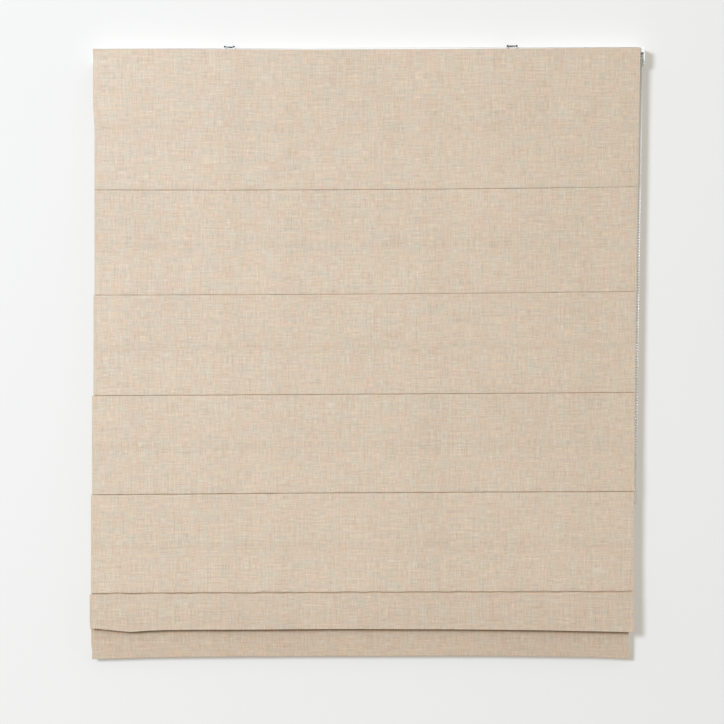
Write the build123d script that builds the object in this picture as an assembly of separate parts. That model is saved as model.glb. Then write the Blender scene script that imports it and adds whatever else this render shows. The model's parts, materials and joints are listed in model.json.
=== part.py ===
from build123d import *
import os
from math import acos, asin, atan2, cos, degrees, pi, sin, sqrt

# Roman blind with a side chain, in millimetres. X runs along the headrail towards the chain,
# Y runs from the room into the wall and Z is up. The origin lies on the wall, midway between
# the four screw holes of the two brackets. The blind hangs nearly let down: five flat sections
# with a rod behind each crease, one gathered fold, and the weighted hem behind and below it.

# Cloth
CLOTH_WIDTH = 1190.0
CLOTH_THICKNESS = 0.6
SECTION_HEIGHTS = [306.0, 226.5, 217.5, 214.0, 216.5]  # top edge to first crease, then crease to crease
FOLD_DROP = 81.0  # how far the gathered fold hangs below the last flat crease
FOLD_RADIUS = 1.8  # outside radius of the fold's lower edge
FOLD_SETBACK = 9.0  # how far behind the other rods the gathered rod hangs
HEM_LENGTH = 130.0  # from the lowest rod's crease to the bottom edge
HEM_LEAN = 12.0  # the gathered cloth pushes the bottom edge this far back towards the wall
SIDE_HEM = 25.0
CREASE_NOTCH = 0.35
GATHERED_PITCH = 12.0  # spacing of neighbouring rods once they are drawn together

# Rods and their pockets
ROD_RADIUS = 2.0
ROD_INSET = 21.0  # from the cloth's side edge to the rod's end
POCKET_CLEARANCE = 0.5
POCKET_WEB = 2.4  # the stitched neck between the crease and the pocket

# Bottom bar
BAR_HEIGHT = 26.0
BAR_THICKNESS = 3.0
BAR_INSET = 30.0
BAR_CLEARANCE = 0.3
BAR_CORNER = 6.0

# Headrail
RAIL_DEPTH = 36.0
RAIL_HEIGHT = 28.0
RAIL_WALL = 1.4
RAIL_LIP = 6.0  # width of the inturned bottom lips, wall included
RAIL_INSET = 1.5  # the rail's end stands this far inside the cloth's edge
RIB_HEIGHT = 3.0
RIB_FLANGE = 0.8  # thickness of a rib's flange
FRONT_FLANGE_REACH = 1.6
REAR_FLANGE_REACH = 2.2
RAIL_TOP = 8.0
WALL_GAP = 3.0  # between the wall and the rail's back
TAPE_THICKNESS = 1.3
TAPE_HEIGHT = 20.0
TAPE_INSET = 27.0

# Brackets
BRACKET_SPACING = 614.0
BRACKET_SHIFT = 5.0  # the brackets' middle lies this far right of the blind's middle
BRACKET_STEEL = 1.2
BRACKET_WIDTH = 17.0
BRACKET_LIFT = 6.2  # gap between the rail's top and the bracket's top plate
CLAW_WIDTH = 3.2
CLAW_GAP = 0.3
SCREW_SPACING = 14.0
SCREW_HOLE_RADIUS = 2.4
BRACKET_FOOT = 14.0  # the back plate reaches this far below the hole pattern's centre
CEILING_HOLE_RADIUS = 2.0
CEILING_HOLE_INSET = 6.4  # from the top plate's front edge

# Swivel latch under each bracket
LATCH_PIVOT_SETBACK = 10.0  # from the rail's back face to the pivot
LATCH_NOSE_HALF_WIDTH = 3.4
LATCH_HANDLE = 18.0
LATCH_HANDLE_HALF_WIDTH = 2.6
RIVET_RADIUS = 2.0
RIVET_HEAD_RADIUS = 3.2
RIVET_HEAD = 0.7
LATCH_BASE_GAP = 0.9  # between the rail's top and the latch
RUNNING = 0.06  # radial clearance of a turning fit

# Shaft, drums and cradles
SHAFT_SIDE = 5.0
SHAFT_DROP = 14.0  # from the rail's top down to the shaft's axis
SHAFT_PAST_DRUM = 28.0
SOCKET_CLEARANCE = 0.1
DRUM_POSITIONS = [-455.0, -11.0, 433.0]
DRUM_CORE_RADIUS = 7.9
DRUM_FLANGE_RADIUS = 10.2
DRUM_FLANGE = 1.5
DRUM_LENGTH = 40.0  # over its flanges
JOURNAL_RADIUS = 5.0
JOURNAL_LENGTH = 5.0
CRADLE_WALL = 3.0
CRADLE_BASE = 2.0
CRADLE_GAP = 0.8  # between a drum's flange and the cradle's upright
CRADLE_SLOT = 9.0  # the snap-in mouth above each journal
SLIDE_GAP = 0.15
BOSS_DROP = 2.6  # the cradle's boss reaches this far below its base
EYELET_FORWARD = 1.2  # the cord's exit lies this far in front of the shaft's axis
EYELET_WIDTH = 3.2

# Lift cords
CORD_RADIUS = 0.7
CORD_BEND = 4.0
CORD_GAP = 0.1

# Rings and cord ends
RING_HOLE_RADIUS = 6.0
RING_WIRE_RADIUS = 0.75
RING_GAP = 0.3
LOCK_RADIUS = 6.2
LOCK_LENGTH = 16.0
LOCK_OFFSET = 4.6  # the cord runs this far in front of the lowest ring's centre
LOCK_BORE_DEPTH = 9.0

# Control unit and bead chain
PLATE_THICKNESS = 2.2
PLATE_PLUG = 16.0
PLUG_WALL = 2.0
WHEEL_GAP = 0.4
BEAD_RADIUS = 2.25
BEAD_PITCH = 6.0
WHEEL_POCKETS = 10
WHEEL_FLANGE = 1.0
WHEEL_GROOVE_GAP = 0.35
WHEEL_RIM = 1.9  # the flanges stand this far outside the beads' centre line
POCKET_DEPTH = 0.3  # how deep the beads' seats are scooped out of the wheel
POST_WALL = 0.8
CORE_RADIUS = 4.2
SPRING_WIRE = 0.6
SPRING_TURNS = 6
SPRING_GAP = 0.06
WHEEL_CAP = 1.5  # the wheel's closed outer face
COVER_WALL = 2.0
COVER_RIM = 1.8
COVER_DROP = 35.0  # how far the cover's side plate hangs below the rail's top
COVER_FRONT_DROP = 8.5  # how far the cover's front wall hangs below the rail's top
CHAIN_DROP = 975.5  # from the wheel's axis to the bottom of the loop
CHAIN_LEAN = 14.0  # the loop's lower end hangs this far to the left
COVER_SCREW_RADIUS = 1.5
COVER_SCREW_HEAD = 1.4

# Places that follow from the sizes above
RAIL_BACK = -WALL_GAP
RAIL_FRONT = RAIL_BACK - RAIL_DEPTH
RAIL_BOTTOM = RAIL_TOP - RAIL_HEIGHT
CLOTH_BACK = RAIL_FRONT - 2 * TAPE_THICKNESS
CLOTH_FRONT = CLOTH_BACK - CLOTH_THICKNESS
SHAFT_Y = (RAIL_FRONT + RAIL_BACK) / 2
SHAFT_Z = RAIL_TOP - SHAFT_DROP
WHEEL_WIDTH = 2 * (WHEEL_FLANGE + BEAD_RADIUS + WHEEL_GROOVE_GAP)
UNIT_OVERHANG = PLATE_THICKNESS + 2 * WHEEL_GAP + WHEEL_WIDTH + COVER_WALL - RAIL_INSET
CLOTH_LEFT = -(CLOTH_WIDTH + UNIT_OVERHANG) / 2 - BRACKET_SHIFT
CLOTH_RIGHT = CLOTH_LEFT + CLOTH_WIDTH
RAIL_LEFT = CLOTH_LEFT + RAIL_INSET
RAIL_RIGHT = CLOTH_RIGHT - RAIL_INSET
PLATE_FACE = RAIL_RIGHT + PLATE_THICKNESS
WHEEL_FACE = PLATE_FACE + WHEEL_GAP
CHAIN_X = WHEEL_FACE + WHEEL_WIDTH / 2
COVER_INNER = WHEEL_FACE + WHEEL_WIDTH + WHEEL_GAP
COVER_OUTER = COVER_INNER + COVER_WALL
CHAIN_RADIUS = WHEEL_POCKETS * BEAD_PITCH / (2 * pi)
CREASES = [RAIL_TOP - sum(SECTION_HEIGHTS[: n + 1]) for n in range(len(SECTION_HEIGHTS))]
LOWEST_CREASE = CREASES[-1] - GATHERED_PITCH
FOLD_BOTTOM = CREASES[-1] - FOLD_DROP
HEM_BOTTOM = LOWEST_CREASE - HEM_LENGTH
HEM_FACE = CLOTH_FRONT + FOLD_SETBACK
HEM_TILT = degrees(asin(HEM_LEAN / HEM_LENGTH))
POCKET_BORE = ROD_RADIUS + POCKET_CLEARANCE
POCKET_RADIUS = POCKET_BORE + CLOTH_THICKNESS
POCKET_Y = CLOTH_BACK + POCKET_WEB + POCKET_RADIUS - CLOTH_THICKNESS / 3
RING_RADIUS = RING_HOLE_RADIUS + RING_WIRE_RADIUS
RING_Y = POCKET_Y + POCKET_RADIUS + RING_GAP + RING_RADIUS + RING_WIRE_RADIUS
LOCK_Y = RING_Y + FOLD_SETBACK - LOCK_OFFSET
LOCK_TOP = LOWEST_CREASE - RING_WIRE_RADIUS - RING_GAP
EYELET_Y = SHAFT_Y - EYELET_FORWARD
CRADLE_FLOOR = RAIL_BOTTOM + RAIL_WALL + SLIDE_GAP
EYELET_Z = CRADLE_FLOOR - BOSS_DROP / 4
BRACKET_TOP = RAIL_TOP + BRACKET_LIFT + BRACKET_STEEL
LATCH_Y = RAIL_BACK - LATCH_PIVOT_SETBACK
LATCH_BASE = RAIL_TOP + LATCH_BASE_GAP
SEGMENT_COUNT = 12  # straight runs that shape an acorn's side


def block(x, y, z):
    """A box between the two limits given on each axis."""
    size = [b - a for a, b in (x, y, z)]
    centre = [(a + b) / 2 for a, b in (x, y, z)]
    return Pos(*centre) * Box(*size)


def panel(y, z):
    """A rectangle in the Y-Z plane between the limits given."""
    return Pos((y[0] + y[1]) / 2, (z[0] + z[1]) / 2) * Rectangle(y[1] - y[0], z[1] - z[0])


def disc(y, z, radius):
    """A circle in the Y-Z plane."""
    return Pos(y, z) * Circle(radius)


def outline(*points):
    """A filled outline in the Y-Z plane."""
    return make_face(Polyline(*points, close=True))


def along_x(sketch, start, end):
    """The Y-Z sketch drawn out along X."""
    return extrude(Plane.YZ.offset(start) * sketch, amount=end - start)


def rod_x(y, z, radius, start, end):
    """A round bar along X."""
    return along_x(disc(y, z, radius), start, end)


def upright(x, y, radius, low, high):
    """A round bar along Z."""
    return Pos(x, y, (low + high) / 2) * Cylinder(radius, high - low)


def write(name, shape):
    """Writes one node's STEP file."""
    export_step(shape, os.path.join("parts", name + ".step"))


def headrail():
    """The aluminium channel, open below, with a bracket rib along both top edges."""
    section = panel((RAIL_FRONT, RAIL_BACK), (RAIL_BOTTOM, RAIL_TOP))
    section -= panel(
        (RAIL_FRONT + RAIL_WALL, RAIL_BACK - RAIL_WALL),
        (RAIL_BOTTOM + RAIL_WALL, RAIL_TOP - RAIL_WALL),
    )
    section -= panel(
        (RAIL_FRONT + RAIL_LIP, RAIL_BACK - RAIL_LIP), (RAIL_BOTTOM, RAIL_BOTTOM + RAIL_WALL)
    )
    rib_top = RAIL_TOP + RIB_HEIGHT
    section += panel((RAIL_FRONT, RAIL_FRONT + RAIL_WALL), (RAIL_TOP, rib_top))
    section += panel((RAIL_FRONT - FRONT_FLANGE_REACH, RAIL_FRONT), (rib_top - RIB_FLANGE, rib_top))
    section += panel((RAIL_BACK - RAIL_WALL, RAIL_BACK), (RAIL_TOP, rib_top))
    section += panel(
        (RAIL_BACK - RAIL_WALL - REAR_FLANGE_REACH, RAIL_BACK), (rib_top - RIB_FLANGE, rib_top)
    )
    return along_x(section, RAIL_LEFT, RAIL_RIGHT)


def rail_plug(start, end):
    """A hollow plug that slides into the rail's end."""
    inside_front = RAIL_FRONT + RAIL_WALL + SLIDE_GAP
    inside_back = RAIL_BACK - RAIL_WALL - SLIDE_GAP
    low = RAIL_BOTTOM + RAIL_WALL + SLIDE_GAP
    high = RAIL_TOP - RAIL_WALL - SLIDE_GAP
    section = panel((inside_front, inside_back), (low, high))
    section -= panel(
        (inside_front + PLUG_WALL, inside_back - PLUG_WALL), (low + PLUG_WALL, high - PLUG_WALL)
    )
    return along_x(section, start, end)


def left_end_cap():
    """The cap that closes the rail's left end."""
    plate = block((CLOTH_LEFT, RAIL_LEFT), (RAIL_FRONT, RAIL_BACK), (RAIL_BOTTOM, RAIL_TOP))
    return plate + rail_plug(RAIL_LEFT, RAIL_LEFT + PLATE_PLUG)


def cover_screw_places():
    """Where the two screws of the chain cover stand, as (y, z)."""
    reach = CHAIN_RADIUS + WHEEL_RIM + 2 * COVER_SCREW_RADIUS + 0.4
    high = RAIL_TOP - COVER_RIM - 1.5 * COVER_SCREW_RADIUS
    across = sqrt(reach**2 - (high - SHAFT_Z) ** 2)
    return [(SHAFT_Y - across, high), (SHAFT_Y + across, high)]


def control_plate():
    """The plate in the rail's right end, with the fixed post that carries the chain wheel."""
    plate = block((RAIL_RIGHT, PLATE_FACE), (RAIL_FRONT, RAIL_BACK), (RAIL_BOTTOM, RAIL_TOP))
    plate += rail_plug(RAIL_RIGHT - PLATE_PLUG, RAIL_RIGHT)
    post_end = WHEEL_FACE + WHEEL_WIDTH - WHEEL_CAP - WHEEL_GAP
    bore = CORE_RADIUS + RUNNING
    plate += rod_x(SHAFT_Y, SHAFT_Z, bore + POST_WALL, RAIL_RIGHT, post_end)
    plate -= rod_x(SHAFT_Y, SHAFT_Z, bore, RAIL_RIGHT, post_end)
    for y, z in cover_screw_places():
        plate -= rod_x(y, z, COVER_SCREW_RADIUS + SLIDE_GAP, RAIL_RIGHT, PLATE_FACE)
    return plate


def chain_wheel():
    """The bead wheel: two cheeks, a hub scooped for the beads, a closed outer face and its core."""
    end = WHEEL_FACE + WHEEL_WIDTH
    near, far = WHEEL_FACE + WHEEL_FLANGE, end - WHEEL_FLANGE
    hub = disc(SHAFT_Y, SHAFT_Z, CHAIN_RADIUS - BEAD_RADIUS - WHEEL_GROOVE_GAP)
    for n in range(WHEEL_POCKETS):
        angle = 2 * pi * n / WHEEL_POCKETS
        y, z = SHAFT_Y + CHAIN_RADIUS * cos(angle), SHAFT_Z + CHAIN_RADIUS * sin(angle)
        hub -= disc(y, z, BEAD_RADIUS + WHEEL_GROOVE_GAP + POCKET_DEPTH)
    wheel = along_x(hub, near, far)
    for start, stop in ((WHEEL_FACE, near), (far, end)):
        wheel += rod_x(SHAFT_Y, SHAFT_Z, CHAIN_RADIUS + WHEEL_RIM, start, stop)
    cavity = CORE_RADIUS + RUNNING + POST_WALL + SPRING_WIRE + 3 * SPRING_GAP
    wheel -= rod_x(SHAFT_Y, SHAFT_Z, cavity, WHEEL_FACE, end - WHEEL_CAP)
    core_start = RAIL_RIGHT - PLATE_PLUG / 2
    wheel += rod_x(SHAFT_Y, SHAFT_Z, CORE_RADIUS, core_start, end - WHEEL_CAP)
    side = SHAFT_SIDE + SOCKET_CLEARANCE
    socket = Pos(SHAFT_Y, SHAFT_Z) * Rectangle(side, side)
    return wheel - along_x(socket, core_start, end - WHEEL_CAP)


def clutch_spring():
    """The wrap spring that grips the fixed post inside the wheel."""
    radius = CORE_RADIUS + RUNNING + POST_WALL + SPRING_GAP + SPRING_WIRE / 2
    pitch = SPRING_WIRE + SPRING_GAP
    start = WHEEL_FACE + SPRING_WIRE
    path = Helix(pitch, pitch * SPRING_TURNS, radius)
    wire = Plane(path @ 0, z_dir=path % 0) * Circle(SPRING_WIRE / 2)
    coil = sweep(wire, path=path, is_frenet=True)
    return Pos(start, SHAFT_Y, SHAFT_Z) * Rot(0, 90, 0) * coil


def chain_cover():
    """The end cover: a side plate with a rim over the top, the back and the upper front."""
    low = RAIL_TOP - COVER_DROP
    front_low = RAIL_TOP - COVER_FRONT_DROP
    middle_low = RAIL_BOTTOM + COVER_RIM
    high = RAIL_TOP + RIB_HEIGHT
    side = outline(
        (RAIL_FRONT, high),
        (RAIL_BACK, high),
        (RAIL_BACK, middle_low),
        (SHAFT_Y + CHAIN_RADIUS, low),
        (SHAFT_Y - CHAIN_RADIUS, low),
        (RAIL_FRONT, middle_low),
    )
    cover = along_x(side, COVER_INNER, COVER_OUTER)
    rim = panel((RAIL_FRONT, RAIL_BACK), (high - COVER_RIM, high))
    rim += panel((RAIL_FRONT, RAIL_FRONT + COVER_RIM), (front_low, high))
    rim += panel((RAIL_BACK - COVER_RIM, RAIL_BACK), (middle_low, high))
    cover += along_x(rim, PLATE_FACE, COVER_INNER)
    for y, z in cover_screw_places():
        boss = disc(y, z, 2 * COVER_SCREW_RADIUS)
        cover += along_x(boss, PLATE_FACE, COVER_INNER)
        cover -= rod_x(y, z, COVER_SCREW_RADIUS + SLIDE_GAP, PLATE_FACE, COVER_OUTER)
    return cover


def cover_screw(y, z):
    """A pan-headed screw that holds the cover to the plate."""
    shank = rod_x(y, z, COVER_SCREW_RADIUS, RAIL_RIGHT, COVER_OUTER)
    head = rod_x(y, z, 2 * COVER_SCREW_RADIUS, COVER_OUTER, COVER_OUTER + COVER_SCREW_HEAD)
    slot = block(
        (COVER_OUTER + COVER_SCREW_HEAD / 2, COVER_OUTER + COVER_SCREW_HEAD),
        (y - 2 * COVER_SCREW_RADIUS, y + 2 * COVER_SCREW_RADIUS),
        (z - COVER_SCREW_RADIUS / 5, z + COVER_SCREW_RADIUS / 5),
    )
    return shank + head - slot


def shaft():
    """The square shaft that turns the drums."""
    start = DRUM_POSITIONS[0] - SHAFT_PAST_DRUM
    end = WHEEL_FACE + WHEEL_WIDTH - WHEEL_CAP - WHEEL_GAP
    return along_x(Pos(SHAFT_Y, SHAFT_Z) * Rectangle(SHAFT_SIDE, SHAFT_SIDE), start, end)


def drum(x):
    """A cord drum: core, two flanges and two journals on a square bore."""
    half = DRUM_LENGTH / 2
    end = half + JOURNAL_LENGTH
    body = rod_x(SHAFT_Y, SHAFT_Z, DRUM_CORE_RADIUS, x - half, x + half)
    for side in (-1, 1):
        near, far = sorted((x + side * half, x + side * (half - DRUM_FLANGE)))
        body += rod_x(SHAFT_Y, SHAFT_Z, DRUM_FLANGE_RADIUS, near, far)
    body += rod_x(SHAFT_Y, SHAFT_Z, JOURNAL_RADIUS, x - end, x + end)
    side = SHAFT_SIDE + SOCKET_CLEARANCE
    return body - along_x(Pos(SHAFT_Y, SHAFT_Z) * Rectangle(side, side), x - end, x + end)


def cradle(x):
    """The support that clips over the rail's lips, carries a drum and guides its cord out."""
    inner = DRUM_LENGTH / 2 + CRADLE_GAP
    outer = inner + CRADLE_WALL
    wide = (RAIL_FRONT + RAIL_WALL + SLIDE_GAP, RAIL_BACK - RAIL_WALL - SLIDE_GAP)
    narrow = (RAIL_FRONT + RAIL_LIP + SLIDE_GAP, RAIL_BACK - RAIL_LIP - SLIDE_GAP)
    base_top = CRADLE_FLOOR + CRADLE_BASE
    body = block((x - outer, x + outer), wide, (CRADLE_FLOOR, base_top))
    body += block((x - outer, x + outer), narrow, (CRADLE_FLOOR - BOSS_DROP, CRADLE_FLOOR))
    cheek_half = JOURNAL_RADIUS + 2 * CRADLE_WALL
    cheek_top = SHAFT_Z + JOURNAL_RADIUS
    cheek = panel((SHAFT_Y - cheek_half, SHAFT_Y + cheek_half), (base_top, cheek_top))
    cheek -= disc(SHAFT_Y, SHAFT_Z, JOURNAL_RADIUS + RUNNING)
    cheek -= panel((SHAFT_Y - CRADLE_SLOT / 2, SHAFT_Y + CRADLE_SLOT / 2), (SHAFT_Z, cheek_top))
    body += along_x(cheek, x - outer, x - inner) + along_x(cheek, x + inner, x + outer)
    back = EYELET_Y + CORD_RADIUS + CORD_GAP
    front = back - 2 * EYELET_WIDTH
    across = (x - EYELET_WIDTH / 2, x + EYELET_WIDTH / 2)
    return body - block(across, (front, back), (CRADLE_FLOOR - BOSS_DROP, base_top))


def drum_tangent():
    """Where the cord leaves the drum, as (y, z)."""
    radius = DRUM_CORE_RADIUS + CORD_GAP + CORD_RADIUS
    across, down = EYELET_Y - SHAFT_Y, EYELET_Z - SHAFT_Z
    angle = atan2(down, across) - acos(radius / sqrt(across**2 + down**2))
    return SHAFT_Y + radius * cos(angle), SHAFT_Z + radius * sin(angle)


def lift_cord(x):
    """One lift cord: off the drum, round the eyelet's edge and straight down to its lock."""
    leave_y, leave_z = drum_tangent()
    end = (x, LOCK_Y, LOCK_TOP - LOCK_BORE_DEPTH / 2)
    path = FilletPolyline((x, leave_y, leave_z), (x, EYELET_Y, EYELET_Z), end, radius=CORD_BEND)
    section = Plane(path @ 0, z_dir=path % 0) * Circle(CORD_RADIUS)
    return sweep(section, path=path)


def rod(z, setback):
    """One stiffening rod in its pocket."""
    y = POCKET_Y + setback
    return rod_x(y, z, ROD_RADIUS, CLOTH_LEFT + ROD_INSET, CLOTH_RIGHT - ROD_INSET)


def rings(z, setback):
    """The cord rings stitched behind one rod pocket, one for each cord."""
    ring = Torus(RING_RADIUS, RING_WIRE_RADIUS)
    return Compound([Pos(x, RING_Y + setback, z) * ring for x in DRUM_POSITIONS])


def cord_lock(x):
    """The acorn that the cord ends in, too wide to pass the lowest ring."""
    half = LOCK_LENGTH / 2
    side = [
        (LOCK_RADIUS * sin(pi * n / SEGMENT_COUNT), half - LOCK_LENGTH * n / SEGMENT_COUNT)
        for n in range(1, SEGMENT_COUNT)
    ]
    first, last = side[0], side[-1]
    flat = Polyline(last, (0, last[1]), (0, first[1]), first)
    body = revolve(Plane.XZ * make_face([Spline(*side), flat]), Axis.Z)
    bore = upright(x, LOCK_Y, CORD_RADIUS + 3 * CORD_GAP, LOCK_TOP - LOCK_BORE_DEPTH, LOCK_TOP)
    return Pos(x, LOCK_Y, LOCK_TOP - first[1]) * body - bore


def lean_back(shape):
    """A solid of the hanging hem, swung back about the lowest rod's crease."""
    return Pos(0, HEM_FACE, LOWEST_CREASE) * Rot(HEM_TILT, 0, 0) * Pos(0, -HEM_FACE, -LOWEST_CREASE) * shape


def bottom_bar():
    """The flat aluminium weight bar in the hem."""
    low = HEM_BOTTOM + CLOTH_THICKNESS + BAR_CLEARANCE
    front = CLOTH_BACK + FOLD_SETBACK + BAR_CLEARANCE
    length = CLOTH_WIDTH - 2 * BAR_INSET
    flat = RectangleRounded(length, BAR_HEIGHT, BAR_CORNER)
    centre = ((CLOTH_LEFT + CLOTH_RIGHT) / 2, front + BAR_THICKNESS, low + BAR_HEIGHT / 2)
    return lean_back(Pos(*centre) * extrude(Plane.XZ * flat, amount=BAR_THICKNESS))


def pocket(z, setback):
    """The section of one rod pocket: a stitched neck and a loop of cloth round the rod."""
    y = POCKET_Y + setback
    back = CLOTH_BACK + setback
    neck = panel((back, y), (z - CLOTH_THICKNESS, z + CLOTH_THICKNESS))
    return neck + disc(y, z, POCKET_RADIUS) - disc(y, z, POCKET_BORE)


def crease_notch(z):
    """The small groove that a crease shows on the cloth's face."""
    return outline(
        (CLOTH_FRONT, z - CREASE_NOTCH), (CLOTH_FRONT + CREASE_NOTCH, z), (CLOTH_FRONT, z + CREASE_NOTCH)
    )


def gathered_fold():
    """The section of the last cloth section, folded up behind itself to the lowest rod."""
    turn = FOLD_BOTTOM + FOLD_RADIUS
    centre = CLOTH_FRONT + FOLD_RADIUS
    ring = disc(centre, turn, FOLD_RADIUS) - disc(centre, turn, FOLD_RADIUS - CLOTH_THICKNESS)
    ring &= panel((centre - FOLD_RADIUS, centre + FOLD_RADIUS), (FOLD_BOTTOM, turn))
    behind = centre + FOLD_RADIUS
    returning = outline(
        (behind - CLOTH_THICKNESS, turn),
        (behind, turn),
        (HEM_FACE, LOWEST_CREASE),
        (HEM_FACE - CLOTH_THICKNESS, LOWEST_CREASE),
    )
    seam = panel(
        (HEM_FACE - CLOTH_THICKNESS, HEM_FACE + CLOTH_THICKNESS),
        (LOWEST_CREASE, LOWEST_CREASE + CLOTH_THICKNESS),
    )
    return panel((CLOTH_FRONT, CLOTH_BACK), (turn, CREASES[-1])) + ring + returning + seam


def hem_section():
    """The section of the hem panel and the closed pocket round the bottom bar, hanging plumb."""
    face, inner = HEM_FACE, CLOTH_BACK + FOLD_SETBACK
    back = inner + BAR_THICKNESS + 2 * BAR_CLEARANCE
    top = HEM_BOTTOM + BAR_HEIGHT + 4 * BAR_CLEARANCE + 2 * CLOTH_THICKNESS
    sheet = panel((face, inner), (HEM_BOTTOM, LOWEST_CREASE))
    loop = panel((face, back + CLOTH_THICKNESS), (HEM_BOTTOM, top))
    hole = panel((inner, back), (HEM_BOTTOM + CLOTH_THICKNESS, top - CLOTH_THICKNESS))
    return sheet + (loop - hole)


def side_hems(low, high, setback):
    """The cloth turned back along both side edges, over one stretch of the panel."""
    y = (CLOTH_BACK + setback, CLOTH_BACK + setback + CLOTH_THICKNESS)
    left = block((CLOTH_LEFT, CLOTH_LEFT + SIDE_HEM), y, (low, high))
    right = block((CLOTH_RIGHT - SIDE_HEM, CLOTH_RIGHT), y, (low, high))
    return left + right


def face_cloth():
    """The whole cloth, one folded sheet: flat sections, rod pockets, gathered fold and hem."""
    section = panel((CLOTH_FRONT, CLOTH_BACK), (CREASES[-1], RAIL_TOP))
    section += gathered_fold() + pocket(LOWEST_CREASE, FOLD_SETBACK)
    for z in CREASES:
        section += pocket(z, 0)
        section -= crease_notch(z)
    cloth = along_x(section, CLOTH_LEFT, CLOTH_RIGHT)
    cloth += lean_back(along_x(hem_section(), CLOTH_LEFT, CLOTH_RIGHT))
    high = RAIL_BOTTOM
    for z in CREASES:
        cloth += side_hems(z + CLOTH_THICKNESS, high, 0)
        high = z - CLOTH_THICKNESS
    return cloth


def tape(front):
    """One half of the hook-and-loop fastening along the rail."""
    return block(
        (CLOTH_LEFT + TAPE_INSET, CLOTH_RIGHT - TAPE_INSET),
        (front, front + TAPE_THICKNESS),
        (RAIL_TOP - TAPE_HEIGHT, RAIL_TOP - 1),
    )


def bracket(x):
    """The steel bracket: back plate, top plate and two claws round the rail's front rib."""
    half = BRACKET_WIDTH / 2
    plate_low = BRACKET_TOP - BRACKET_STEEL
    front = RAIL_FRONT - FRONT_FLANGE_REACH - CLAW_GAP
    flange_low = RAIL_TOP + RIB_HEIGHT - RIB_FLANGE
    claw_low = flange_low - CLAW_GAP - BRACKET_STEEL
    body = block((x - half, x + half), (-BRACKET_STEEL, 0), (-BRACKET_FOOT, BRACKET_TOP))
    body += block((x - half, x + half), (front, 0), (plate_low, BRACKET_TOP))
    for side in (-1, 1):
        near, far = sorted((x + side * (half - CLAW_GAP), x + side * (half + CLAW_WIDTH)))
        body += block((near, far), (front - BRACKET_STEEL, RAIL_FRONT + RAIL_WALL), (plate_low, BRACKET_TOP))
        body += block((near, far), (front - BRACKET_STEEL, front), (claw_low, BRACKET_TOP))
        body += block((near, far), (front, RAIL_FRONT - CLAW_GAP), (claw_low, claw_low + BRACKET_STEEL))
    for z in (-SCREW_SPACING / 2, SCREW_SPACING / 2):
        hole = Pos(x, -BRACKET_STEEL / 2, z) * Rot(90, 0, 0) * Cylinder(SCREW_HOLE_RADIUS, 2 * BRACKET_STEEL)
        body -= hole
    body -= upright(x, front + CEILING_HOLE_INSET, CEILING_HOLE_RADIUS, plate_low, BRACKET_TOP)
    return body - upright(x, LATCH_Y, RIVET_RADIUS, plate_low, BRACKET_TOP)


def latch(x):
    """The swivel latch: a nose under the rail's rear rib and a handle towards the room."""
    top = BRACKET_TOP - BRACKET_STEEL - 2 * SLIDE_GAP
    flange_low = RAIL_TOP + RIB_HEIGHT - RIB_FLANGE
    nose_end = RAIL_BACK - RAIL_WALL - SLIDE_GAP
    hub = RIVET_HEAD_RADIUS + 1.6
    nose_top = flange_low - SLIDE_GAP
    nose = block(
        (x - LATCH_NOSE_HALF_WIDTH, x + LATCH_NOSE_HALF_WIDTH), (LATCH_Y, nose_end), (LATCH_BASE, nose_top)
    )
    nose &= upright(x, LATCH_Y, nose_end - LATCH_Y, LATCH_BASE, nose_top)
    body = upright(x, LATCH_Y, hub, LATCH_BASE, top) + nose
    body += block(
        (x - LATCH_HANDLE_HALF_WIDTH, x + LATCH_HANDLE_HALF_WIDTH),
        (LATCH_Y - LATCH_HANDLE, LATCH_Y),
        (LATCH_BASE, top),
    )
    body -= upright(x, LATCH_Y, RIVET_RADIUS + RUNNING, LATCH_BASE, top)
    return body - upright(x, LATCH_Y, RIVET_HEAD_RADIUS + SLIDE_GAP, LATCH_BASE, LATCH_BASE + RIVET_HEAD + SLIDE_GAP)


def rivet(x):
    """The rivet that the latch turns on, headed at both ends."""
    body = upright(x, LATCH_Y, RIVET_RADIUS, LATCH_BASE, BRACKET_TOP)
    body += upright(x, LATCH_Y, RIVET_HEAD_RADIUS, LATCH_BASE, LATCH_BASE + RIVET_HEAD)
    return body + upright(x, LATCH_Y, RIVET_HEAD_RADIUS, BRACKET_TOP, BRACKET_TOP + RIVET_HEAD)


def half_turn(centre, down, side):
    """Half a ring of chain round a centre: over it for side -1, under it for side 1."""
    start = centre - Vector(0, CHAIN_RADIUS, 0)
    round_bar = Plane(start, x_dir=(0, 1, 0), z_dir=down) * Circle(BEAD_RADIUS)
    return revolve(round_bar, Axis(centre, down.cross(Vector(0, side, 0))), 180)


def bead_chain():
    """The endless bead chain as a plain tube: over the wheel and down in one leaning loop."""
    top = Vector(CHAIN_X, SHAFT_Y, SHAFT_Z)
    reach = Vector(-CHAIN_LEAN, 0, -CHAIN_DROP)
    down = reach.normalized()
    low = top + down * (reach.length - CHAIN_RADIUS)
    chain = half_turn(top, down, -1) + half_turn(low, down, 1)
    for y in (-CHAIN_RADIUS, CHAIN_RADIUS):
        foot = low + Vector(0, y, 0)
        run = (low - top).length
        chain += Plane(foot, z_dir=-down) * Pos(0, 0, run / 2) * Cylinder(BEAD_RADIUS, run)
    return chain


os.makedirs("parts", exist_ok=True)

write("headrail", headrail())
write("left_end_cap", left_end_cap())
write("hook_tape", tape(RAIL_FRONT - TAPE_THICKNESS))
write("loop_tape", tape(CLOTH_BACK))
write("face_cloth", face_cloth())

write("control_plate", control_plate())
write("chain_wheel", chain_wheel())
write("clutch_spring", clutch_spring())
write("chain_cover", chain_cover())
for place, (screw_y, screw_z) in zip(("front", "rear"), cover_screw_places()):
    write("cover_screw_" + place, cover_screw(screw_y, screw_z))
write("bead_chain", bead_chain())

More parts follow.
